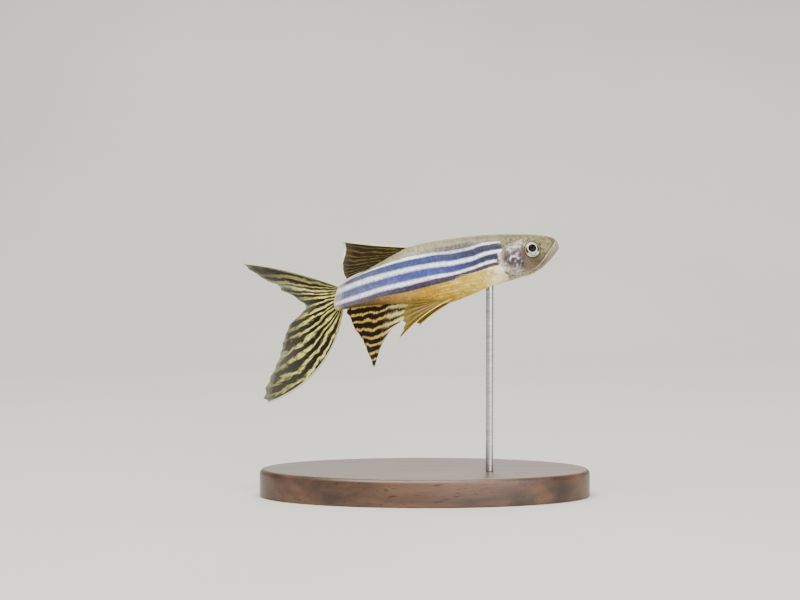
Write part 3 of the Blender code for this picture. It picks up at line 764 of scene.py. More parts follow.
def vaneTemplate():
    # One scale, with a round rear edge: 20 faces above, 20 below and a rim. x runs to the rear.
    look = scaleCoat
    across, along = look["across"], look["along"]
    points, local = [], []
    for top in (1, 0):
        for i in range(along):
            u = i / (along - 1)
            for j in range(across):
                y = j / (across - 1) - 0.5
                x = u * (1 - look["rearRound"] * (2 * y) ** 2)
                thin = (1 - 0.65 * u) * (1 - 0.5 * (2 * y) ** 2)
                height = -0.35 + (0.95 * u + 0.4 * thin if top else 0.0)
                points.append((x, y * (1 - look["rearNarrow"] * u**3), 0.0))
                local.append((u, y, height))
    size = across * along
    faces = []
    for i in range(along - 1):
        for j in range(across - 1):
            a, b = i * across + j, (i + 1) * across + j
            faces.append((a, b, b + 1, a + 1))
            faces.append((size + a, size + a + 1, size + b + 1, size + b))
    rim = gridRim(along, across)
    for a, b in zip(rim, rim[1:] + rim[:1]):
        faces.append((a, size + a, size + b, b))
    piece = newPiece("scaleVane", np.array(points) / mm, faces)
    faceOutwards(piece)
    outline = set(rim)
    for edge in piece.data.edges:
        a, b = edge.vertices
        ends = {a % size, b % size}
        edge.use_edge_sharp = len(ends) == 1 or (ends <= outline and a // size == b // size)
    storeValues(piece.data, "local", local)
    return piece


def scaleRoots(unwrap):
    # Points where the scales are rooted, with their directions, sizes and places on the unwrap.
    look, length = scaleCoat, bodyForm["length"]
    start, end = look["share"]
    shares, pitches = [start], []
    while shares[-1] < end:
        q = (shares[-1] - start) / (end - start)
        pitches.append(between(look["pitch"], q**1.2))
        shares.append(shares[-1] + pitches[-1] / 2 / length)
    fine = np.linspace(0, 2 * math.pi, look["ringSteps"] + 1)
    sizes, uvs, turnsAt, sharesAt = [], [], [], []
    for k, (share, pitch) in enumerate(zip(shares, pitches)):
        ring = bodyPoint(share, fine)
        arc = travelled(ring)
        rowWidth = arc[-1] / look["rows"]
        turn = np.interp(np.arange(k % 2, look["rows"], 2) * rowWidth, arc, fine)
        sharesAt += [share] * len(turn)
        turnsAt += list(turn)
        sizes += [(pitch * look["overlap"], 2 * rowWidth * look["spread"], pitch)] * len(turn)
        v = np.interp(share, unwrap["shares"], unwrap["v"])
        uvs += [(t / (2 * math.pi), v, 0.0) for t in turn]
    share, turn = np.array(sharesAt), np.array(turnsAt)
    places = bodyPoint(share, turn, -skinLook["inset"])
    rearward = bodyPoint(share + 0.01, turn) - bodyPoint(share - 0.01, turn)
    around = bodyPoint(share, turn + 0.05) - bodyPoint(share, turn - 0.05)
    normal = np.cross(rearward, around)
    normal *= np.sign(np.sum(normal * (places - spineAt(share)), axis=1))[:, None]
    piece = newPiece("scaleCoat", places, [])
    for name, values in (
        ("rearward", rearward), ("facing", normal), ("size", np.array(sizes) * mm), ("rootUv", uvs),
    ):
        storeValues(piece.data, name, values)
    return piece


def buildScales(skin, unwrap, material):
    look = scaleCoat
    vane, piece = vaneTemplate(), scaleRoots(unwrap)
    tree, given, add = newTree(
        "Scale coat",
        {
            "Skin": ("Object", None),
            "Vane": ("Object", None),
            "Rear lift": ("Float", 0.05 * mm),
            "Unevenness": ("Float", 0.06),
            "Unwrap patch": ("Float", look["patch"]),
            "Seed": ("Int", 1),
            "Material": ("Material", None),
        },
    )
    kinds = dict.fromkeys(("stripe", "along", "girth", "flush"), "FLOAT")
    kinds |= dict.fromkeys(("marks", "zones", "lie"), "FLOAT_VECTOR")
    carried = list(kinds)  # from the skin to the scales on it
    kinds |= dict.fromkeys(("facing", "rearward", "size", "local", "rootUv", "outward"), "FLOAT_VECTOR")
    named = {
        name: add("GeometryNodeInputNamedAttribute", {"Name": name}, data_type=kind)
        for name, kind in {**kinds, "tone": "FLOAT"}.items()
    }
    skinShape, vaneShape = (
        add("GeometryNodeObjectInfo", {"Object": given[name]}, out="Geometry") for name in ("Skin", "Vane")
    )
    turned = add("FunctionNodeAlignRotationToVector", {"Vector": named["facing"]}, axis="Z")
    turned = add(
        "FunctionNodeAlignRotationToVector",
        {"Rotation": turned, "Vector": named["rearward"]},
        axis="X",
        pivot_axis="Z",
    )
    length, width, pitch = add("SeparateXYZ", (named["size"],), out=None)
    least = add("Math", (1.0, given["Unevenness"]), "SUBTRACT")
    most = add("Math", (1.0, given["Unevenness"]))
    uneven = add(
        "FunctionNodeRandomValue", {2: least, 3: most, "Seed": given["Seed"]}, out=1, data_type="FLOAT"
    )
    scale = add("CombineXYZ", (add("Math", (length, uneven), "MULTIPLY"), width, 1.0))
    tone = add("FunctionNodeRandomValue", {"Seed": given["Seed"]}, out=1, data_type="FLOAT")
    toned = add(
        "GeometryNodeStoreNamedAttribute",
        {"Geometry": given["Geometry"], "Name": "tone", "Value": tone},
        data_type="FLOAT",
    )
    placed = add(
        "GeometryNodeInstanceOnPoints",
        {"Points": toned, "Instance": vaneShape, "Rotation": turned, "Scale": scale},
    )
    coat = add("GeometryNodeRealizeInstances", (placed,))

    # Each vane is laid on the skin: the nearest place of it, plus the vane's own height
    where = add("GeometryNodeInputPosition")
    nearest = {
        name: add(
            "GeometryNodeSampleNearestSurface",
            {"Mesh": skinShape, "Value": value, "Sample Position": where},
            data_type=kinds.get(name, "FLOAT_VECTOR"),
        )
        for name, value in {**{n: named[n] for n in carried + ["outward"]}, "place": where}.items()
    }
    vaneX, vaneY, vaneHeight = add("SeparateXYZ", (named["local"],), out=None)
    relative = add("Math", (pitch, 1 / (look["pitch"][0] * mm)), "MULTIPLY")
    height = add("Math", (vaneHeight, given["Rear lift"]), "MULTIPLY")
    height = add("Math", (height, relative), "MULTIPLY")
    rise = add("VectorMath", {0: nearest["outward"], "Scale": height}, "SCALE")
    onSkin = add("VectorMath", (nearest["place"], rise), "ADD")
    coat = add("GeometryNodeSetPosition", {"Geometry": coat, "Position": onSkin})
    patch = add("VectorMath", {0: named["local"], "Scale": given["Unwrap patch"]}, "SCALE")
    for name, value, kind, domain in (
        *((name, nearest[name], kinds[name], "POINT") for name in carried),
        ("vane", add("CombineXYZ", (vaneX, vaneY, named["tone"])), "FLOAT_VECTOR", "POINT"),
        ("OFBake", add("VectorMath", (named["rootUv"], patch), "ADD"), "FLOAT2", "CORNER"),
    ):
        coat = add(
            "GeometryNodeStoreNamedAttribute",
            {"Geometry": coat, "Name": name, "Value": value},
            data_type=kind,
            domain=domain,
        )
    coat = add("GeometryNodeRealizeInstances", (coat,))
    coat = add("GeometryNodeSetMaterial", {"Geometry": coat, "Material": given["Material"]})
    add("NodeGroupOutput", {"Geometry": coat}, out=None)
    sizes = {"Rear lift": look["lift"] * mm, "Seed": look["seed"]}
    runTree(piece, tree, {"Skin": skin, "Vane": vane, "Material": material, **sizes})
    bpy.data.objects.remove(vane)
    return piece


eyeLook = {
    "out": 1.71,  # of the rim's middle from the middle plane
    "forward": 9.0,  # degrees that it looks ahead
    "upward": 4.0,
    "domeHeight": 0.31,
    "depth": 0.7,  # of the hidden half
    "pupilUp": 0.2,
    "rings": [  # outwards from the middle of the pupil
        (0.0, "#010102"), (0.6, "#020203"), (0.63, "#dedccd"), (0.675, "#f4f3e8"), (0.705, "#74775c"),
        (0.86, "#595d42"), (1.0, "#474b31"),
    ],
    "sides": 64,
}


def buildEye(side, sign, material):
    look, rim = eyeLook, headForm["eyeRim"]
    share = headForm["eye"][0] / bodyForm["length"]
    toBack, toRight = bodyFrame(np.array(share))
    ahead = -backward(np.array(share))
    axis = toRight * sign + ahead * math.tan(math.radians(look["forward"]))
    axis += toBack * math.tan(math.radians(look["upward"]))
    axis = unit(axis)
    sideways = unit(ahead - axis * np.dot(ahead, axis))
    upward = np.cross(axis, sideways) * sign
    upward *= np.sign(np.dot(upward, toBack))
    centre = headPoint(*headForm["eye"], sign * look["out"])
    ballRadius = (rim**2 + look["domeHeight"] ** 2) / (2 * look["domeHeight"])
    profile = []
    for r in np.linspace(0, rim, 30)[1:]:
        profile.append((r, math.sqrt(ballRadius**2 - r * r) - ballRadius + look["domeHeight"]))
    for a in np.linspace(0, math.pi / 2, 12)[1:-1]:
        profile.append((rim * (1 + 0.02 * math.sin(2 * a)) * math.cos(a), -look["depth"] * math.sin(a)))
    sides = look["sides"]
    points = [centre + axis * look["domeHeight"]]
    gaze = [(0.0, 0.0, 0.0)]
    for r, h in profile:
        for a in 2 * math.pi * np.arange(sides) / sides:
            points.append(centre + axis * h + (sideways * math.cos(a) + upward * math.sin(a)) * r)
            gaze.append((r * math.cos(a), r * math.sin(a), h))
    points.append(centre - axis * look["depth"])
    gaze.append((0.0, 0.0, -1.0))
    faces = ringFaces(len(profile), sides)
    piece = newPiece(f"eye{side.title()}", points, faces, material=material)
    faceOutwards(piece)
    storeValues(piece.data, "gaze", gaze)
    finishPiece(piece, [f"eye_{side}"])


def eyeMaterial():
    # Wet cornea over a silver iris: a sharp highlight on a black pupil, and bright foil-like facets.
    material, surface, add = newMaterial("silver iris under wet cornea")
    gaze = add("Attribute", out="Vector", attribute_name="gaze")
    flat = add("VectorMath", (gaze, (1.0, 1.0, 0.0)), "MULTIPLY")
    lifted = add("VectorMath", (flat, (0.0, -eyeLook["pupilUp"], 0.0)))
    away, fromPupil = (add("VectorMath", (spot,), "LENGTH", "Value") for spot in (flat, lifted))
    colour = add("ValToRGB", (fromPupil,), stops=eyeLook["rings"])
    facets = add("TexVoronoi", {"Vector": flat, "Scale": 3.4, "Randomness": 0.9}, out="Color")
    facetLight = add("MapRange", (add("SeparateXYZ", (facets,)), 0.3, 0.7, 0.08))
    iris = add("MapRange", (fromPupil, 0.68, 0.74))
    across, upward, _ = add("SeparateXYZ", (flat,), out=None)
    sideness = add("Math", (across,), "ABSOLUTE")
    high = add("Math", (add("Math", (upward, 0.75), "MULTIPLY"),), "ABSOLUTE")
    darkSides = add("MapRange", (add("Math", (sideness, high), "SUBTRACT"), 0.42, 0.72, 0.0, 0.92))
    brightBelow = add("MapRange", (upward, -0.3, -0.62, 0.0, 0.8))
    rimPale = add("MapRange", (away, 0.93, 0.99, 0.0, 0.6))
    # painted shade at the eye's edge, where it meets the socket
    rimDark = add("MapRange", (away, 1.04, 1.09, 0.0, 0.9))
    colour = layered(
        add,
        colour,
        (
            ("#14160e", darkSides, iris),
            ("#eef0d2", facetLight, brightBelow, iris),
            ("#b5b588", rimPale, iris),
            # painted shade at the eye's edge
            ("#2a2a20", rimDark, iris),
        ),
    )
    setInputs(
        surface,
        {
            "Base Color": colour,
            "Metallic": add("MapRange", (iris, 0.0, 1.0, 0.0, 0.3)),
            "Roughness": 0.28,
            "IOR": 1.38,
            "Specular IOR Level": 0.1,
            "Coat Weight": 0.12,
            "Coat Roughness": 0.03,
            "Coat IOR": 1.38,
        },
    )
    return material


# Fins. Tips are (back, up) from the snout tip in the side view, one for each main ray, as in the solids.
tailFin = {
    "tips": [
        (45.9, -2.5), (44.8, -3.4), (43.1, -4.5), (42.0, -5.2), (40.6, -5.7), (40.1, -6.5), (38.8, -7.0),
        (37.7, -7.8), (36.6, -8.8), (37.0, -9.6), (38.9, -11.5), (39.5, -12.8), (40.0, -14.1),
        (40.3, -15.5), (40.9, -17.3), (41.7, -19.0), (42.5, -20.7), (42.8, -22.1), (42.1, -22.9),
    ],
    "root": ((32.25, -5.75), (31.15, -9.35)),
    "buried": 1.0,  # of each ray's root inside the tail
    "rise": (21.0, -84.0),
    "riseTrend": 1.15,
    "bow": 0.57,
    "swing": 3.6,
    "swingReach": 4.0,
    "flattening": 0.6,
    "lean": 14.0,
    "tuck": 1.1,  # sideways for each millimetre that a root lies inside the tail
    "between": 6, "steps": 56, "notch": 0.022, "flutter": 0.3, "flutterWaves": 3.5,
    "rayRadius": (0.085, 0.022), "split": 0.3, "webHalf": (0.06, 0.02),
}
dorsalFin = {
    "root": (0.59, 0.8),
    "tips": [
        (31.3, 0.75), (31.12, 0.0), (31.05, -0.8), (31.15, -1.65), (31.4, -2.6), (31.4, -3.4),
        (31.15, -4.15), (30.7, -4.85),
    ],
    "ridge": 0.0, "rise": (-4.5, -25.0), "trail": (0.25, 0.5), "bow": 0.5,
    "between": 10, "steps": 44, "notch": 0.006, "flutter": 0.16, "flutterWaves": 2.0,
    "rayRadius": (0.075, 0.022), "split": 0.4, "webHalf": (0.055, 0.02),
}
analFin = {
    "root": (0.648, 0.93),
    "tips": [
        (22.8, -10.9), (24.1, -12.2), (25.2, -13.85), (25.95, -15.2), (26.7, -17.7), (27.5, -15.6),
        (28.05, -14.35), (28.6, -13.35), (29.35, -12.3), (29.7, -11.3), (30.15, -10.4), (30.7, -9.75),
    ],
    "ridge": math.pi, "rise": (-88.0, -40.0), "trail": (0.2, 0.6), "bow": 0.45,
    "between": 8, "steps": 44, "notch": 0.05, "flutter": 0.12, "flutterWaves": 3.0,
    "rayRadius": (0.075, 0.022), "split": 0.45, "webHalf": (0.055, 0.02),
}
pelvicFin = {
    "root": (0.4, 0.43),
    "turn": (163.0, 170.0),
    "tips": {
        "right": [(23.4, -14.05), (22.8, -12.8), (22.4, -11.5), (22.6, -10.3), (22.4, -9.2), (21.8, -8.15)],
        "left": [(20.2, -11.7), (20.6, -11.0), (20.8, -10.2), (20.7, -9.5), (20.4, -9.0)],
    },
    "spread": {"right": (-2.0, -1.4), "left": (2.2, 1.54)},
    "lift": (-0.25, (0.75, 0.1)),  # of the root, and what the first and last ray's knee is raised by
    "rise": (-8.0, -8.0), "bow": 0.5, "rays": 7,
    "between": 12, "steps": 44, "notch": 0.04, "flutter": 0.1, "flutterWaves": 1.5,
    "rayRadius": (0.07, 0.022), "split": 0.45, "webHalf": (0.05, 0.02),
}
pectoralFin = {
    "rootShare": 0.268,
    "rootTurn": (111.0, 125.0),
    "tips": [(0.425, 104.0), (0.452, 109.0), (0.455, 116.0), (0.44, 124.0), (0.41, 132.0), (0.38, 138.0)],
    "lift": (-0.3, 1.2), "rays": 10,
    "between": 10, "steps": 40, "notch": 0.03, "flutter": 0.05, "flutterWaves": 2.0,
    "rayRadius": (0.045, 0.015), "split": 0.5, "webHalf": (0.035, 0.015),
}

rayLook = {
    "sides": 6,
    "firstThick": 1.35,  # the first ray beside the others
    "branchThick": 0.85,
    "branchSpread": 0.24,  # of the way to the next ray
    "reach": (0.995, 0.99),  # of the outer rays and of branches, in the web's length
}


def tipAt(tips, q):
    # Runs smoothly from tip to tip.
    places = np.linspace(0, 1, len(tips))
    return [smoothTable([(p, tip[k]) for p, tip in zip(places, tips)], q) for k in (0, 1)]


def bentRay(buried, start, tip, leaving, bow, t):
    # Starts inside the body, leaves it in one direction and bends on to the tip.
    knee = start + leaving * np.linalg.norm(tip - start, axis=-1, keepdims=True) * bow
    t = t[..., None]
    return (1 - t) ** 2 * buried + 2 * t * (1 - t) * knee + t * t * tip


def tailSurface(q, t):
    look = tailFin
    q, t = np.broadcast_arrays(q, t)
    roots = np.array(look["root"])
    rootBack, rootUp = between(roots[:, 0], q), between(roots[:, 1], q)
    leaving = sideDirection(between(look["rise"], q ** look["riseTrend"]))
    tipBack, tipUp = tipAt(look["tips"], q)
    root, tip = sidePoint(rootBack, rootUp, 0.0), sidePoint(tipBack, tipUp, 0.0)
    seen = bentRay(root - leaving * look["buried"], root, tip, leaving, look["bow"], t)
    back, up = bodyForm["snout"][0] - seen[..., 0], seen[..., 2] - bodyForm["snout"][2]
    middleBack, middleUp = roots.mean(axis=0)
    reach = np.hypot(np.clip(back - middleBack, 0, None), look["flattening"] * (up - middleUp))
    depth = spinePoints[-1][1] + look["swing"] * (1 - np.exp(-reach / look["swingReach"]))
    depth = depth + (up - middleUp) * math.tan(math.radians(look["lean"]))
    depth = depth - look["tuck"] * np.clip(middleBack - back, 0, None)
    return sidePoint(back, up, depth)


def middleSurface(look):
    def surface(q, t):
        q, t = np.broadcast_arrays(q, t)
        share = between(look["root"], q)
        start = bodyPoint(share, np.full(q.shape, look["ridge"]), 0.35)
        buried = bodyPoint(share, np.full(q.shape, look["ridge"]), -0.3)
        lean = np.tan(np.radians(smoothTable(bodyForm["roll"], share)))
        tipBack, tipUp = tipAt(look["tips"], q)
        gainedBack = tipBack - (bodyForm["snout"][0] - start[..., 0])
        gainedUp = tipUp - (start[..., 2] - bodyForm["snout"][2])
        trailing = between(look["trail"], q)
        tip = sidePoint(tipBack, tipUp, start[..., 1] + gainedBack * trailing + gainedUp * lean)
        leaving = sideDirection(between(look["rise"], q))
        leaving[..., 1] = -leaving[..., 0] * trailing + leaving[..., 2] * lean
        return bentRay(buried, start, tip, leaving, look["bow"], t)

    return surface


def pelvicSurface(side, sign):
    look = pelvicFin

    def surface(q, t):
        q, t = np.broadcast_arrays(q, t)
        turn = np.radians(between(look["turn"], q)) * sign
        share = between(look["root"], q)
        start = bodyPoint(share, turn, between(look["lift"][1], q))
        buried = bodyPoint(share, turn, look["lift"][0])
        tip = sidePoint(*tipAt(look["tips"][side], q), start[..., 1] + between(look["spread"][side], q))
        return bentRay(buried, start, tip, sideDirection(between(look["rise"], q)), look["bow"], t)

    return surface


def pectoralSurface(sign):
    look = pectoralFin

    def surface(q, t):
        q, t = np.broadcast_arrays(q, t)
        tipShare, tipTurn = tipAt(look["tips"], q)
        turn = np.radians(between((between(look["rootTurn"], q), tipTurn), t)) * sign
        share = between((look["rootShare"], tipShare), t)
        return bodyPoint(share, turn, between(look["lift"], t**0.8))

    return surface


def rayTree():
    # Turns loose edges into round rays as thick as their points say, and keeps the web as it is.
    tree, given, add = newTree("Fin rays", {"Sides": ("Int", 6), "Material": ("Material", None)})
    thick = add("GeometryNodeInputNamedAttribute", {"Name": "thick"}, data_type="FLOAT")
    isRay = add("Math", (thick, 0.0), "GREATER_THAN")
    lines, web = add(
        "GeometryNodeSeparateGeometry", {"Geometry": given["Geometry"], "Selection": isRay}, out=None
    )
    curves = add("GeometryNodeMeshToCurve", (lines,))
    ring = add("GeometryNodeCurvePrimitiveCircle", {"Resolution": given["Sides"], "Radius": 1.0})
    rods = add(
        "GeometryNodeCurveToMesh", {"Curve": curves, "Profile Curve": ring, "Scale": thick, "Fill Caps": True}
    )
    both = tree.nodes.new("GeometryNodeJoinGeometry")
    for part in (rods, web):
        setInputs(both, (part,))
    smoothed = add("GeometryNodeSetShadeSmooth", (both.outputs[0],))
    real = add("GeometryNodeRealizeInstances", (smoothed,))
    last = add("GeometryNodeSetMaterial", {"Geometry": real, "Material": given["Material"]})
    add("NodeGroupOutput", {"Geometry": last}, out=None)
    return tree


def buildFin(name, nodes, surface, look, tree, material):
    # A thin closed web over a fan of rays. Each ray splits in two on its way out.
    rays = look.get("rays", len(look["tips"]))
    places = np.linspace(0, rays - 1, (rays - 1) * look["between"] + 1)
    q = places / (rays - 1)
    away = 1 - np.abs(2 * (places % 1) - 1)
    end = 1 - look["notch"] * away**0.7
    t = np.linspace(0, 1, look["steps"] + 1)
    grid = surface(q[:, None], end[:, None] * t[None, :])
    normal = unit(np.cross(np.gradient(grid, axis=1), np.gradient(grid, axis=0)))

    def waved(points, normals, at, along):
        wave = np.sin(2 * math.pi * look["flutterWaves"] * at + 2.2 * along)
        return points + normals * (look["flutter"] * along**2.2 * wave)[..., None]

    reached = [travelled(line) for line in grid]
    grid = waved(grid, normal, q[:, None], np.broadcast_to(t, grid.shape[:2]))
    half = between(look["webHalf"], t)[None, :, None] * np.ones((len(q), 1, 1))
    half[:, -1] *= 0.5
    wide, tall = len(q), len(t)
    size = wide * tall
    fan = np.stack([*np.broadcast_arrays(places[:, None], t), reached], -1)
    points = [(grid + normal * half).reshape(-1, 3), (grid - normal * half).reshape(-1, 3)]
    fans = [fan.reshape(-1, 3)] * 2
    a = (np.arange(wide - 1)[:, None] * tall + np.arange(tall - 1)[None, :]).ravel()
    near = np.stack([a, a + 1, a + tall + 1, a + tall], axis=1)
    faces = near.tolist() + (near[:, ::-1] + size).tolist()
    rim = gridRim(wide, tall)
    faces += [(i, j, size + j, size + i) for i, j in zip(rim, rim[1:] + rim[:1])]
    thick, edges, count = [np.zeros(2 * size)], [], 2 * size

    def addRay(place, along, widest):
        nonlocal count
        at = place / (rays - 1)
        line = surface(at, along)
        after, before = (surface(np.clip(at + side, 0, 1), along) for side in (0.004, -0.004))
        lineNormal = unit(np.cross(np.gradient(line, axis=0), after - before))
        line = waved(line, lineNormal, at, along)
        whole = surface(np.full(t.shape, np.mean(place) / (rays - 1)), t)
        reach = np.interp(along, t, travelled(whole))
        points.append(line)
        fans.append(np.stack([place, along, reach], axis=1))
        thick.append(between(look["rayRadius"], along**0.8) * widest)
        edges.extend((count + i, count + i + 1) for i in range(len(along) - 1))
        count += len(along)

    steps = look["steps"]
    for i in range(rays):
        if i in (0, rays - 1):
            along = np.linspace(0, rayLook["reach"][0], steps + 1)
            addRay(np.full(steps + 1, float(i)), along, rayLook["firstThick"] if i == 0 else 1.0)
            continue
        stem = np.linspace(0, look["split"], steps // 2)
        addRay(np.full(len(stem), float(i)), stem, 1.0)
        for turn in (-1, 1):
            branch = np.linspace(look["split"] - 0.01, rayLook["reach"][1], steps)
            spread = rayLook["branchSpread"] * easeStep(branch, look["split"], 1.0) * turn
            addRay(i + spread, branch, rayLook["branchThick"])
    piece = newPiece(name, np.concatenate(points), faces, edges, material)
    storeValues(piece.data, "fan", np.concatenate(fans))
    storeValues(piece.data, "thick", np.concatenate(thick) * mm)
    runTree(piece, tree, {"Sides": rayLook["sides"], "Material": material})
    faceOutwards(piece)
    finishPiece(piece, nodes)


# Fin skin: clear thin film with yellow and dark pigment in streaks or bands, over bony rays. A fin
# takes from finBase what it doesn't name itself.
finBase = {"band": "rays", "frontRays": 0.31, "lastRay": 99.0, "climb": 0.0, "climbRays": 1.0}
finColours = {
    "tail": {
        "name": "streaked tail web",
        "period": 1.3, "wobble": 0.75, "broken": 0.55,
        "stops": [
            (0.0, "#0b0a08"), (0.42, "#1a180f"), (0.58, "#3a351a"), (0.74, "#7d772f"), (0.88, "#b3ab50"),
            (1.0, "#d9d382"),
        ],
        "front": "#45432f", "frontRays": 7.0,
        "rayTint": "#8d8546", "rayShare": 0.15,
        "leading": "#b9b8a2", "leadingRays": 0.3, "lastRay": 18.0,
        "inner": "#38372d", "innerFrom": (0.52, 0.9), "innerShare": 0.75,
        "edge": "#77776a", "edgeFrom": (0.93, 1.0), "edgeShare": 0.7,
        "clear": (0.98, 0.85, 1.0),
    },
    "dorsal": {
        "name": "olive brown back fin web",
        "period": 0.8, "wobble": 1.1, "broken": 0.3,
        "stops": [
            (0.0, "#1c1606"), (0.5, "#2a220b"), (0.8, "#352b0f"), (0.93, "#463a17"), (1.0, "#594a20"),
        ],
        "front": "#8d7636",
        "rayTint": "#4b3816", "rayShare": 0.3,
        "leading": "#eadcb6", "leadingRays": 0.26,
        "inner": "#57493a", "innerFrom": (0.8, 0.94), "innerShare": 0.5,
        "edge": "#f3ece2", "edgeFrom": (0.958, 0.98), "edgeShare": 1.0,
        "clear": (0.98, 0.95, 1.0),
    },
    "anal": {
        "name": "banded anal fin web",
        "band": "base", "period": 1.2, "wobble": 0.55, "broken": 0.3,
        "climb": 1.5, "climbRays": 4.5,  # millimetres, over the first rays
        "stops": [
            (0.0, "#0b0804"), (0.5, "#171006"), (0.65, "#31250b"), (0.78, "#654f1c"), (0.9, "#8f7230"),
            (1.0, "#a58a45"),
        ],
        "front": "#d9cc8e", "frontRays": 3.6,
        "rayTint": "#4e3a1c", "rayShare": 0.12,
        "leading": "#dccf86", "leadingRays": 0.3,
        "inner": "#2a2218", "innerFrom": (0.9, 1.0), "innerShare": 0.2,
        "edge": "#57482a", "edgeFrom": (0.965, 1.0), "edgeShare": 0.4,
        "clear": (0.98, 0.92, 1.0),
    },
    "pelvic": {
        "name": "yellow olive belly fin web",
        "period": 1.0, "wobble": 0.6, "broken": 0.4,
        "stops": [(0.0, "#3d2d00"), (0.45, "#543f00"), (0.8, "#705500"), (1.0, "#8f7216")],
        "front": "#8f7216",
        "rayTint": "#87701c", "rayShare": 0.35,
        "leading": "#dccb82", "leadingRays": 0.22,
        "inner": "#51430a", "innerFrom": (0.5, 0.9), "innerShare": 0.4,
        "edge": "#6f6220", "edgeFrom": (0.85, 1.0), "edgeShare": 0.5,
        "clear": (1.0, 0.97, 1.0),
    },
    "pectoral": {
        "name": "clear breast fin web",
        "period": 1.0, "wobble": 0.4, "broken": 0.5,
        "stops": [(0.0, "#a88b3a"), (0.6, "#c0a552"), (1.0, "#e6d67a")],
        "front": "#e6d67a",
        "rayTint": "#d8bf5c", "rayShare": 0.5,
        "leading": "#e3d592", "leadingRays": 0.1,
        "inner": "#cdbd7a", "innerFrom": (0.6, 0.9), "innerShare": 0.4,
        "edge": "#d8cc98", "edgeFrom": (0.85, 1.0), "edgeShare": 0.5,
        "clear": (0.1, 0.05, 0.28),
    },
}


def finMaterial(look):
    material, surface, add = newMaterial(look["name"])
    fan = add("Attribute", out="Vector", attribute_name="fan")
    ray, outward, reach = add("SeparateXYZ", (fan,), out=None)
    isRay = add("Math", (add("Attribute", out="Fac", attribute_name="thick"), 1e-6), "GREATER_THAN")

    # Slow wander of the bands, and fine broken streaks along the rays
    slow, fine = (
        add("TexNoise", {"Vector": add("Mapping", {0: fan, 3: stretch}), "Scale": 1.0, "Detail": detail})
        for stretch, detail in (((0.55, 0.0, 0.28), 2.0), ((5.0, 0.0, 1.3), 3.0))
    )
    # Bands climb towards the first rays
    climb = add("MapRange", (ray, look["climbRays"], 0.0, 0.0, look["climb"]))
    along = add("Math", (ray if look["band"] == "rays" else reach, climb))
    turns = add("Math", (along, look["period"]), "DIVIDE")
    turns = add("Math", (turns, add("MapRange", (slow, 0.0, 1.0, -look["wobble"], look["wobble"]))))
    wave = add("Math", (add("Math", (turns, 2 * math.pi), "MULTIPLY"),), "SINE")
    wave = add("MapRange", (wave, -1.0))
    broken = add("MapRange", (fine, 0.25, 0.75, -look["broken"], look["broken"]))
    wave = add("Math", (wave, broken), use_clamp=True)

    wide, last = look["leadingRays"], look["lastRay"]
    leading = add("MapRange", (ray, wide, wide * 0.6))
    trailing = add("MapRange", (ray, last - wide, last - wide * 0.6))
    inner, edge = (
        add("MapRange", (outward, *look[f"{part}From"], 0.0, look[f"{part}Share"]))
        for part in ("inner", "edge")
    )
    colour = layered(
        add,
        add("ValToRGB", (wave,), stops=look["stops"]),
        (
            (look["front"], add("MapRange", (ray, look["frontRays"], 0.3)), wave),
            (look["rayTint"], isRay, look["rayShare"]),
            (look["inner"], inner),
            (look["edge"], edge),
            (look["leading"], add("Math", (leading, trailing), "MAXIMUM")),
        ),
    )
    # The web is clearest at its edge, and the rays are not clear
    webSolid, edgeSolid, raySolid = look["clear"]
    solid = add("MapRange", (outward, 0.3, 1.0, webSolid, edgeSolid))
    solid = add("Math", (solid, add("Math", (isRay, raySolid), "MULTIPLY")), "MAXIMUM")
    # Rays are jointed every third of a millimetre
    joints, ribs = (
        add("Math", (add("Math", (field, times), "MULTIPLY"),), "SINE")
        for field, times in ((reach, 2 * math.pi / 0.33), (ray, 2 * math.pi * 3))
    )
    height = add("Math", (joints, ribs))
    setInputs(
        surface,
        {
            "Base Color": colour,
            "Alpha": solid,
            "Normal": add("Bump", {"Strength": 0.3, "Distance": 0.012 * mm, "Height": height}),
            "Roughness": 0.36,
            "IOR": 1.4,
            "Specular IOR Level": 0.22,
            "Coat Weight": 0.05,
            "Coat Roughness": 0.2,
        },
    )
    return material


barbelLook = {
    "snout": [(0.55, 0.72, 0.8), (0.75, 0.35, 1.2), (1.0, -0.1, 1.5), (1.15, -0.4, 1.62)],
    "jaw": [(2.1, -0.75, 1.35), (2.5, -1.2, 1.75), (3.2, -1.8, 1.85), (4.0, -2.3, 1.8), (4.7, -2.6, 1.72)],
    "radius": (0.075, 0.022),
    "steps": 24, "sides": 10,
    "mottle": [(0.3, "#857b5e"), (0.55, "#9c9172"), (0.75, "#b3a988")],
}


def buildBarbels(tree, material):
    look = barbelLook
    points, thick, edges = [], [], []
    for run in ("snout", "jaw"):
        for _, sign in bothSides:
            at = np.linspace(0, len(look[run]) - 1, look["steps"])
            table = [list(zip(range(len(look[run])), column)) for column in zip(*look[run])]
            back, up, out = (smoothTable(column, at) for column in table)
            start = len(points)
            points += list(headPoint(back, up, out * sign))
            thick += list(between(look["radius"], at / at[-1]))
            edges += [(start + i, start + i + 1) for i in range(look["steps"] - 1)]
    piece = newPiece("barbels", points, [], edges, material)
    storeValues(piece.data, "thick", np.array(thick) * mm)
    runTree(piece, tree, {"Sides": look["sides"], "Material": material})
    faceOutwards(piece)
    names = [f"barbel_{run}_{side}" for run in ("snout", "jaw") for side, _ in bothSides]
    finishPiece(piece, names)


def barbelMaterial():
    # Soft feeler skin: pale, slightly translucent and damp, with a fine mottle.
    material, surface, add = newMaterial("damp feeler skin")
    grain = add("TexNoise", {"Vector": add("TexCoord", out="Object"), "Scale": 3000.0, "Detail": 3.0})
    setInputs(
        surface,
        {
            "Base Color": add("ValToRGB", (grain,), stops=barbelLook["mottle"]),
            "Normal": add("Bump", {"Strength": 0.2, "Distance": 0.01 * mm, "Height": grain}),
            "Roughness": 0.38,
            "Coat Weight": 0.3,
        },
    )
    return material


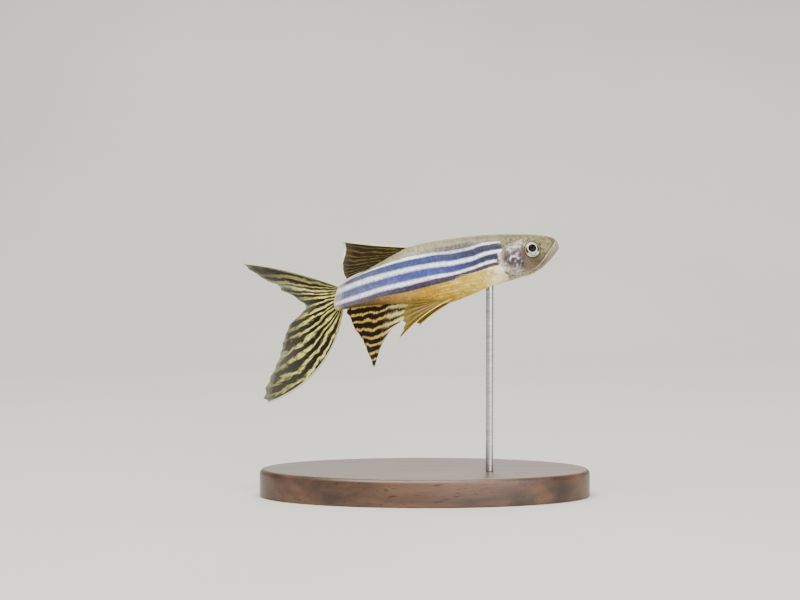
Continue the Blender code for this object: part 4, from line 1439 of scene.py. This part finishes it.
# The stand is an oval base and a rod up to the belly.
standLook = {
    "length": 48.0, "depth": 30.0, "height": 4.0,
    "topRound": 0.7, "footRound": 0.15,
    "flatRim": 4.0,  # a ring of faces inside each round edge keeps its shading clean
    "sides": 192,
    "rodRadius": 0.55,
    "rodShare": 0.315,  # of the fish's length
    "rodSides": 48,
    "rodInFish": 0.5,
    "rodInBase": 0.2,
    "rodBevel": 0.15,
    "grain": [(0.3, "#2a1a10"), (0.45, "#3d281a"), (0.55, "#4b3222"), (0.68, "#5d402b")],
    "pore": "#1c110a",
    "steel": [(0.3, "#a9abad"), (0.7, "#c9cbcc")],
}


def revolved(profile, sides, stretch, centre):
    # Rings of (radius, height) about the Z axis, closed at both poles. Each ring keeps its distance
    # from the oval's edge.
    points = [(*centre, profile[0][1])]
    for radius, height in profile[1:-1]:
        for a in 2 * math.pi * np.arange(sides) / sides:
            x, y = (stretch[0] + radius) * math.cos(a), (stretch[1] + radius) * math.sin(a)
            points.append((centre[0] + x, centre[1] + y, height))
    return points + [(*centre, profile[-1][1])], ringFaces(len(profile) - 2, sides)


def buildStand(wood, steel):
    look = standLook
    top, foot, height, flatRim = look["topRound"], look["footRound"], look["height"], look["flatRim"]
    profile = [(0, 0.0), (-foot - flatRim, 0.0), (-foot, 0.0)]
    for a in np.linspace(0.3, math.pi / 2, 4):
        profile.append((-foot + foot * math.sin(a), foot - foot * math.cos(a)))
    profile += [(0, 1.2), (0, 2.4)]
    for a in np.linspace(0, math.pi / 2, 10):
        profile.append((-top + top * math.cos(a), height - top + top * math.sin(a)))
    profile += [(-top - 0.6, height), (-top - flatRim, height), (0, height)]
    points, faces = revolved(profile, look["sides"], (look["length"] / 2, look["depth"] / 2), (0, 0))
    base = newPiece("standBase", points, faces, material=wood)
    faceOutwards(base)
    finishPiece(base, ["stand_base"])

    meets = bodyPoint(look["rodShare"], math.pi)
    radius, top = look["rodRadius"], meets[2] + look["rodInFish"]
    low, bevel = height - look["rodInBase"], look["rodBevel"]
    profile = [(0, low), (radius, low), (radius, low + 0.4)]
    profile += [(radius, h) for h in np.linspace(low + 2, top - 1, 12)]
    profile += [(radius, top - bevel), (radius - bevel, top), (0, top)]
    points, faces = revolved(profile, look["rodSides"], (0, 0), (meets[0], meets[1]))
    rod = newPiece("standRod", points, faces, material=steel)
    faceOutwards(rod)
    finishPiece(rod, ["stand_rod"])


def woodMaterial():
    # Walnut, turned, stained dark and waxed: satin, with long grain and open pores.
    material, surface, add = newMaterial("waxed dark walnut")
    place = add("TexCoord", out="Object")
    # Growth lines about 1.3 mm apart run along the base
    board = add("Mapping", {0: place, 2: (0.0, 0.0, 0.05), 3: (60.0, 760.0, 760.0)})
    warp = add("TexNoise", {"Vector": board, "Scale": 0.35, "Detail": 2.0}, out="Color")
    bent = add("VectorMath", (warp, (2.5, 2.5, 2.5), board), "MULTIPLY_ADD")
    rings = add("TexNoise", {"Vector": bent, "Scale": 0.55, "Detail": 4.0})
    # Pores a tenth of a millimetre wide and a few millimetres long
    threads = add("Mapping", {0: place, 3: (260.0, 5200.0, 5200.0)})
    pores = add("TexNoise", {"Vector": threads, "Scale": 1.0, "Detail": 2.0})
    colour = add("ValToRGB", (rings,), stops=standLook["grain"])
    setInputs(
        surface,
        {
            "Base Color": layered(add, colour, ((standLook["pore"], add("MapRange", (pores, 0.38, 0.3))),)),
            "Roughness": add("MapRange", (rings, 0.3, 0.7, 0.34, 0.48)),
            "Normal": add("Bump", {"Strength": 0.4, "Distance": 0.03 * mm, "Height": pores}),
            "Coat Weight": 0.2,
            "Coat Roughness": 0.3,
        },
    )
    return material


def steelMaterial():
    # Stainless steel rod, brushed round: soft streaked highlights.
    material, surface, add = newMaterial("brushed stainless steel")
    # Brush lines are drawn 0.15 mm apart so that they show
    lines = add("Mapping", {0: add("TexCoord", out="Object"), 3: (500.0, 500.0, 6500.0)})
    brush = add("TexNoise", {"Vector": lines, "Scale": 1.0, "Detail": 3.0})
    setInputs(
        surface,
        {
            "Base Color": add("ValToRGB", (brush,), stops=standLook["steel"]),
            "Roughness": add("MapRange", (brush, 0.3, 0.7, 0.24, 0.4)),
            "Normal": add("Bump", {"Strength": 0.15, "Distance": 0.01 * mm, "Height": brush}),
            "Metallic": 1.0,
        },
    )
    return material


stageLook = {
    "width": 1600.0,
    "front": -900.0,
    "wallAt": 520.0,
    "wallCurve": 260.0,
    "wallHeight": 900.0,
    "paper": [(0.3, "#b9b8b3"), (0.7, "#c0bfba")],
    "world": ("#e9ebee", 0.4),
    "lamps": (  # name, place, size, watts, colour
        ("key", (-60.0, -190.0, 520.0), 460.0, 8.4, "#fff8ee"),
        ("fill", (250.0, -420.0, 90.0), 460.0, 3.4, "#f4f6ff"),
        ("rim", (60.0, 330.0, 300.0), 300.0, 0.9, "#ffffff"),
    ),
}


def aimed(name, data, spot):
    # Puts a lamp or the camera in its place, turned to the fish.
    holder = bpy.data.objects.new(name, data)
    holder.location = Vector(spot) * mm
    aim = Vector(viewer["aim"]) * mm
    holder.rotation_euler = (aim - holder.location).to_track_quat("-Z", "Y").to_euler()
    bpy.context.scene.collection.objects.link(holder)
    return holder


def buildStage():
    look = stageLook
    material, surface, add = newMaterial("matt pale studio paper")
    mottle = add("TexNoise", {"Vector": add("TexCoord", out="Object"), "Scale": 9.0, "Detail": 4.0})
    paper = add("ValToRGB", (mottle,), stops=look["paper"])
    setInputs(surface, {"Base Color": paper, "Roughness": 0.85})
    wall, curve = look["wallAt"], look["wallCurve"]
    profile = [(look["front"], 0.0), (wall - curve, 0.0)]
    for a in np.linspace(0, math.pi / 2, 24)[1:]:
        profile.append((wall - curve + curve * math.sin(a), curve * (1 - math.cos(a))))
    profile.append((wall, look["wallHeight"]))
    points = [(x, y, z) for y, z in profile for x in (-look["width"] / 2, look["width"] / 2)]
    faces = [(2 * i, 2 * i + 1, 2 * i + 3, 2 * i + 2) for i in range(len(profile) - 1)]
    newPiece("studioFloor", points, faces, material=material)

    world = bpy.data.worlds.new("Studio")
    world.use_nodes = True
    code, strength = look["world"]
    setInputs(world.node_tree.nodes["Background"], {"Color": hexColour(code), "Strength": strength})
    bpy.context.scene.world = world
    for name, spot, size, watts, code in look["lamps"]:
        lamp = bpy.data.lights.new(name, "AREA")
        lamp.size, lamp.energy, lamp.color = size * mm, watts, hexColour(code)[:3]
        aimed(name, lamp, spot)

    lens = bpy.data.cameras.new("camera")
    lens.sensor_width = 36.0
    lens.lens = lens.sensor_width * viewer["distance"] / viewer["pictureWidth"]
    lens.clip_start = 0.01
    bpy.context.scene.camera = aimed("camera", lens, viewer["place"])


print("skin")
skin, unwrap = buildSkin(skinMaterial("wet silver fish skin", False))
print("scales")
scales = buildScales(skin, unwrap, skinMaterial("wet silver fish scale", True))
finishPiece(
    skin,
    ["head", "lower_jaw", "gill_cover_right", "gill_cover_left", "trunk_front", "trunk_rear", "tail_stalk"],
)
finishPiece(scales, [])

print("eyes and barbels")
irisFinish = eyeMaterial()
for side, sign in bothSides:
    buildEye(side, sign, irisFinish)
rayNodes = rayTree()
buildBarbels(rayNodes, barbelMaterial())

print("fins")
finish = {name: finMaterial({**finBase, **look}) for name, look in finColours.items()}
for kind, nodes, surface, look in (
    ("tail", ["fin_tail_upper", "fin_tail_lower"], tailSurface, tailFin),
    ("dorsal", ["fin_dorsal"], middleSurface(dorsalFin), dorsalFin),
    ("anal", ["fin_anal"], middleSurface(analFin), analFin),
):
    buildFin(f"{kind}Fin", nodes, surface, look, rayNodes, finish[kind])
for side, sign in bothSides:
    for kind, surface, look in (
        ("pelvic", pelvicSurface(side, sign), pelvicFin), ("pectoral", pectoralSurface(sign), pectoralFin),
    ):
        name = f"{kind}Fin{side.title()}"
        buildFin(name, [f"fin_{kind}_{side}"], surface, look, rayNodes, finish[kind])

print("stand and stage")
buildStand(woodMaterial(), steelMaterial())
buildStage()
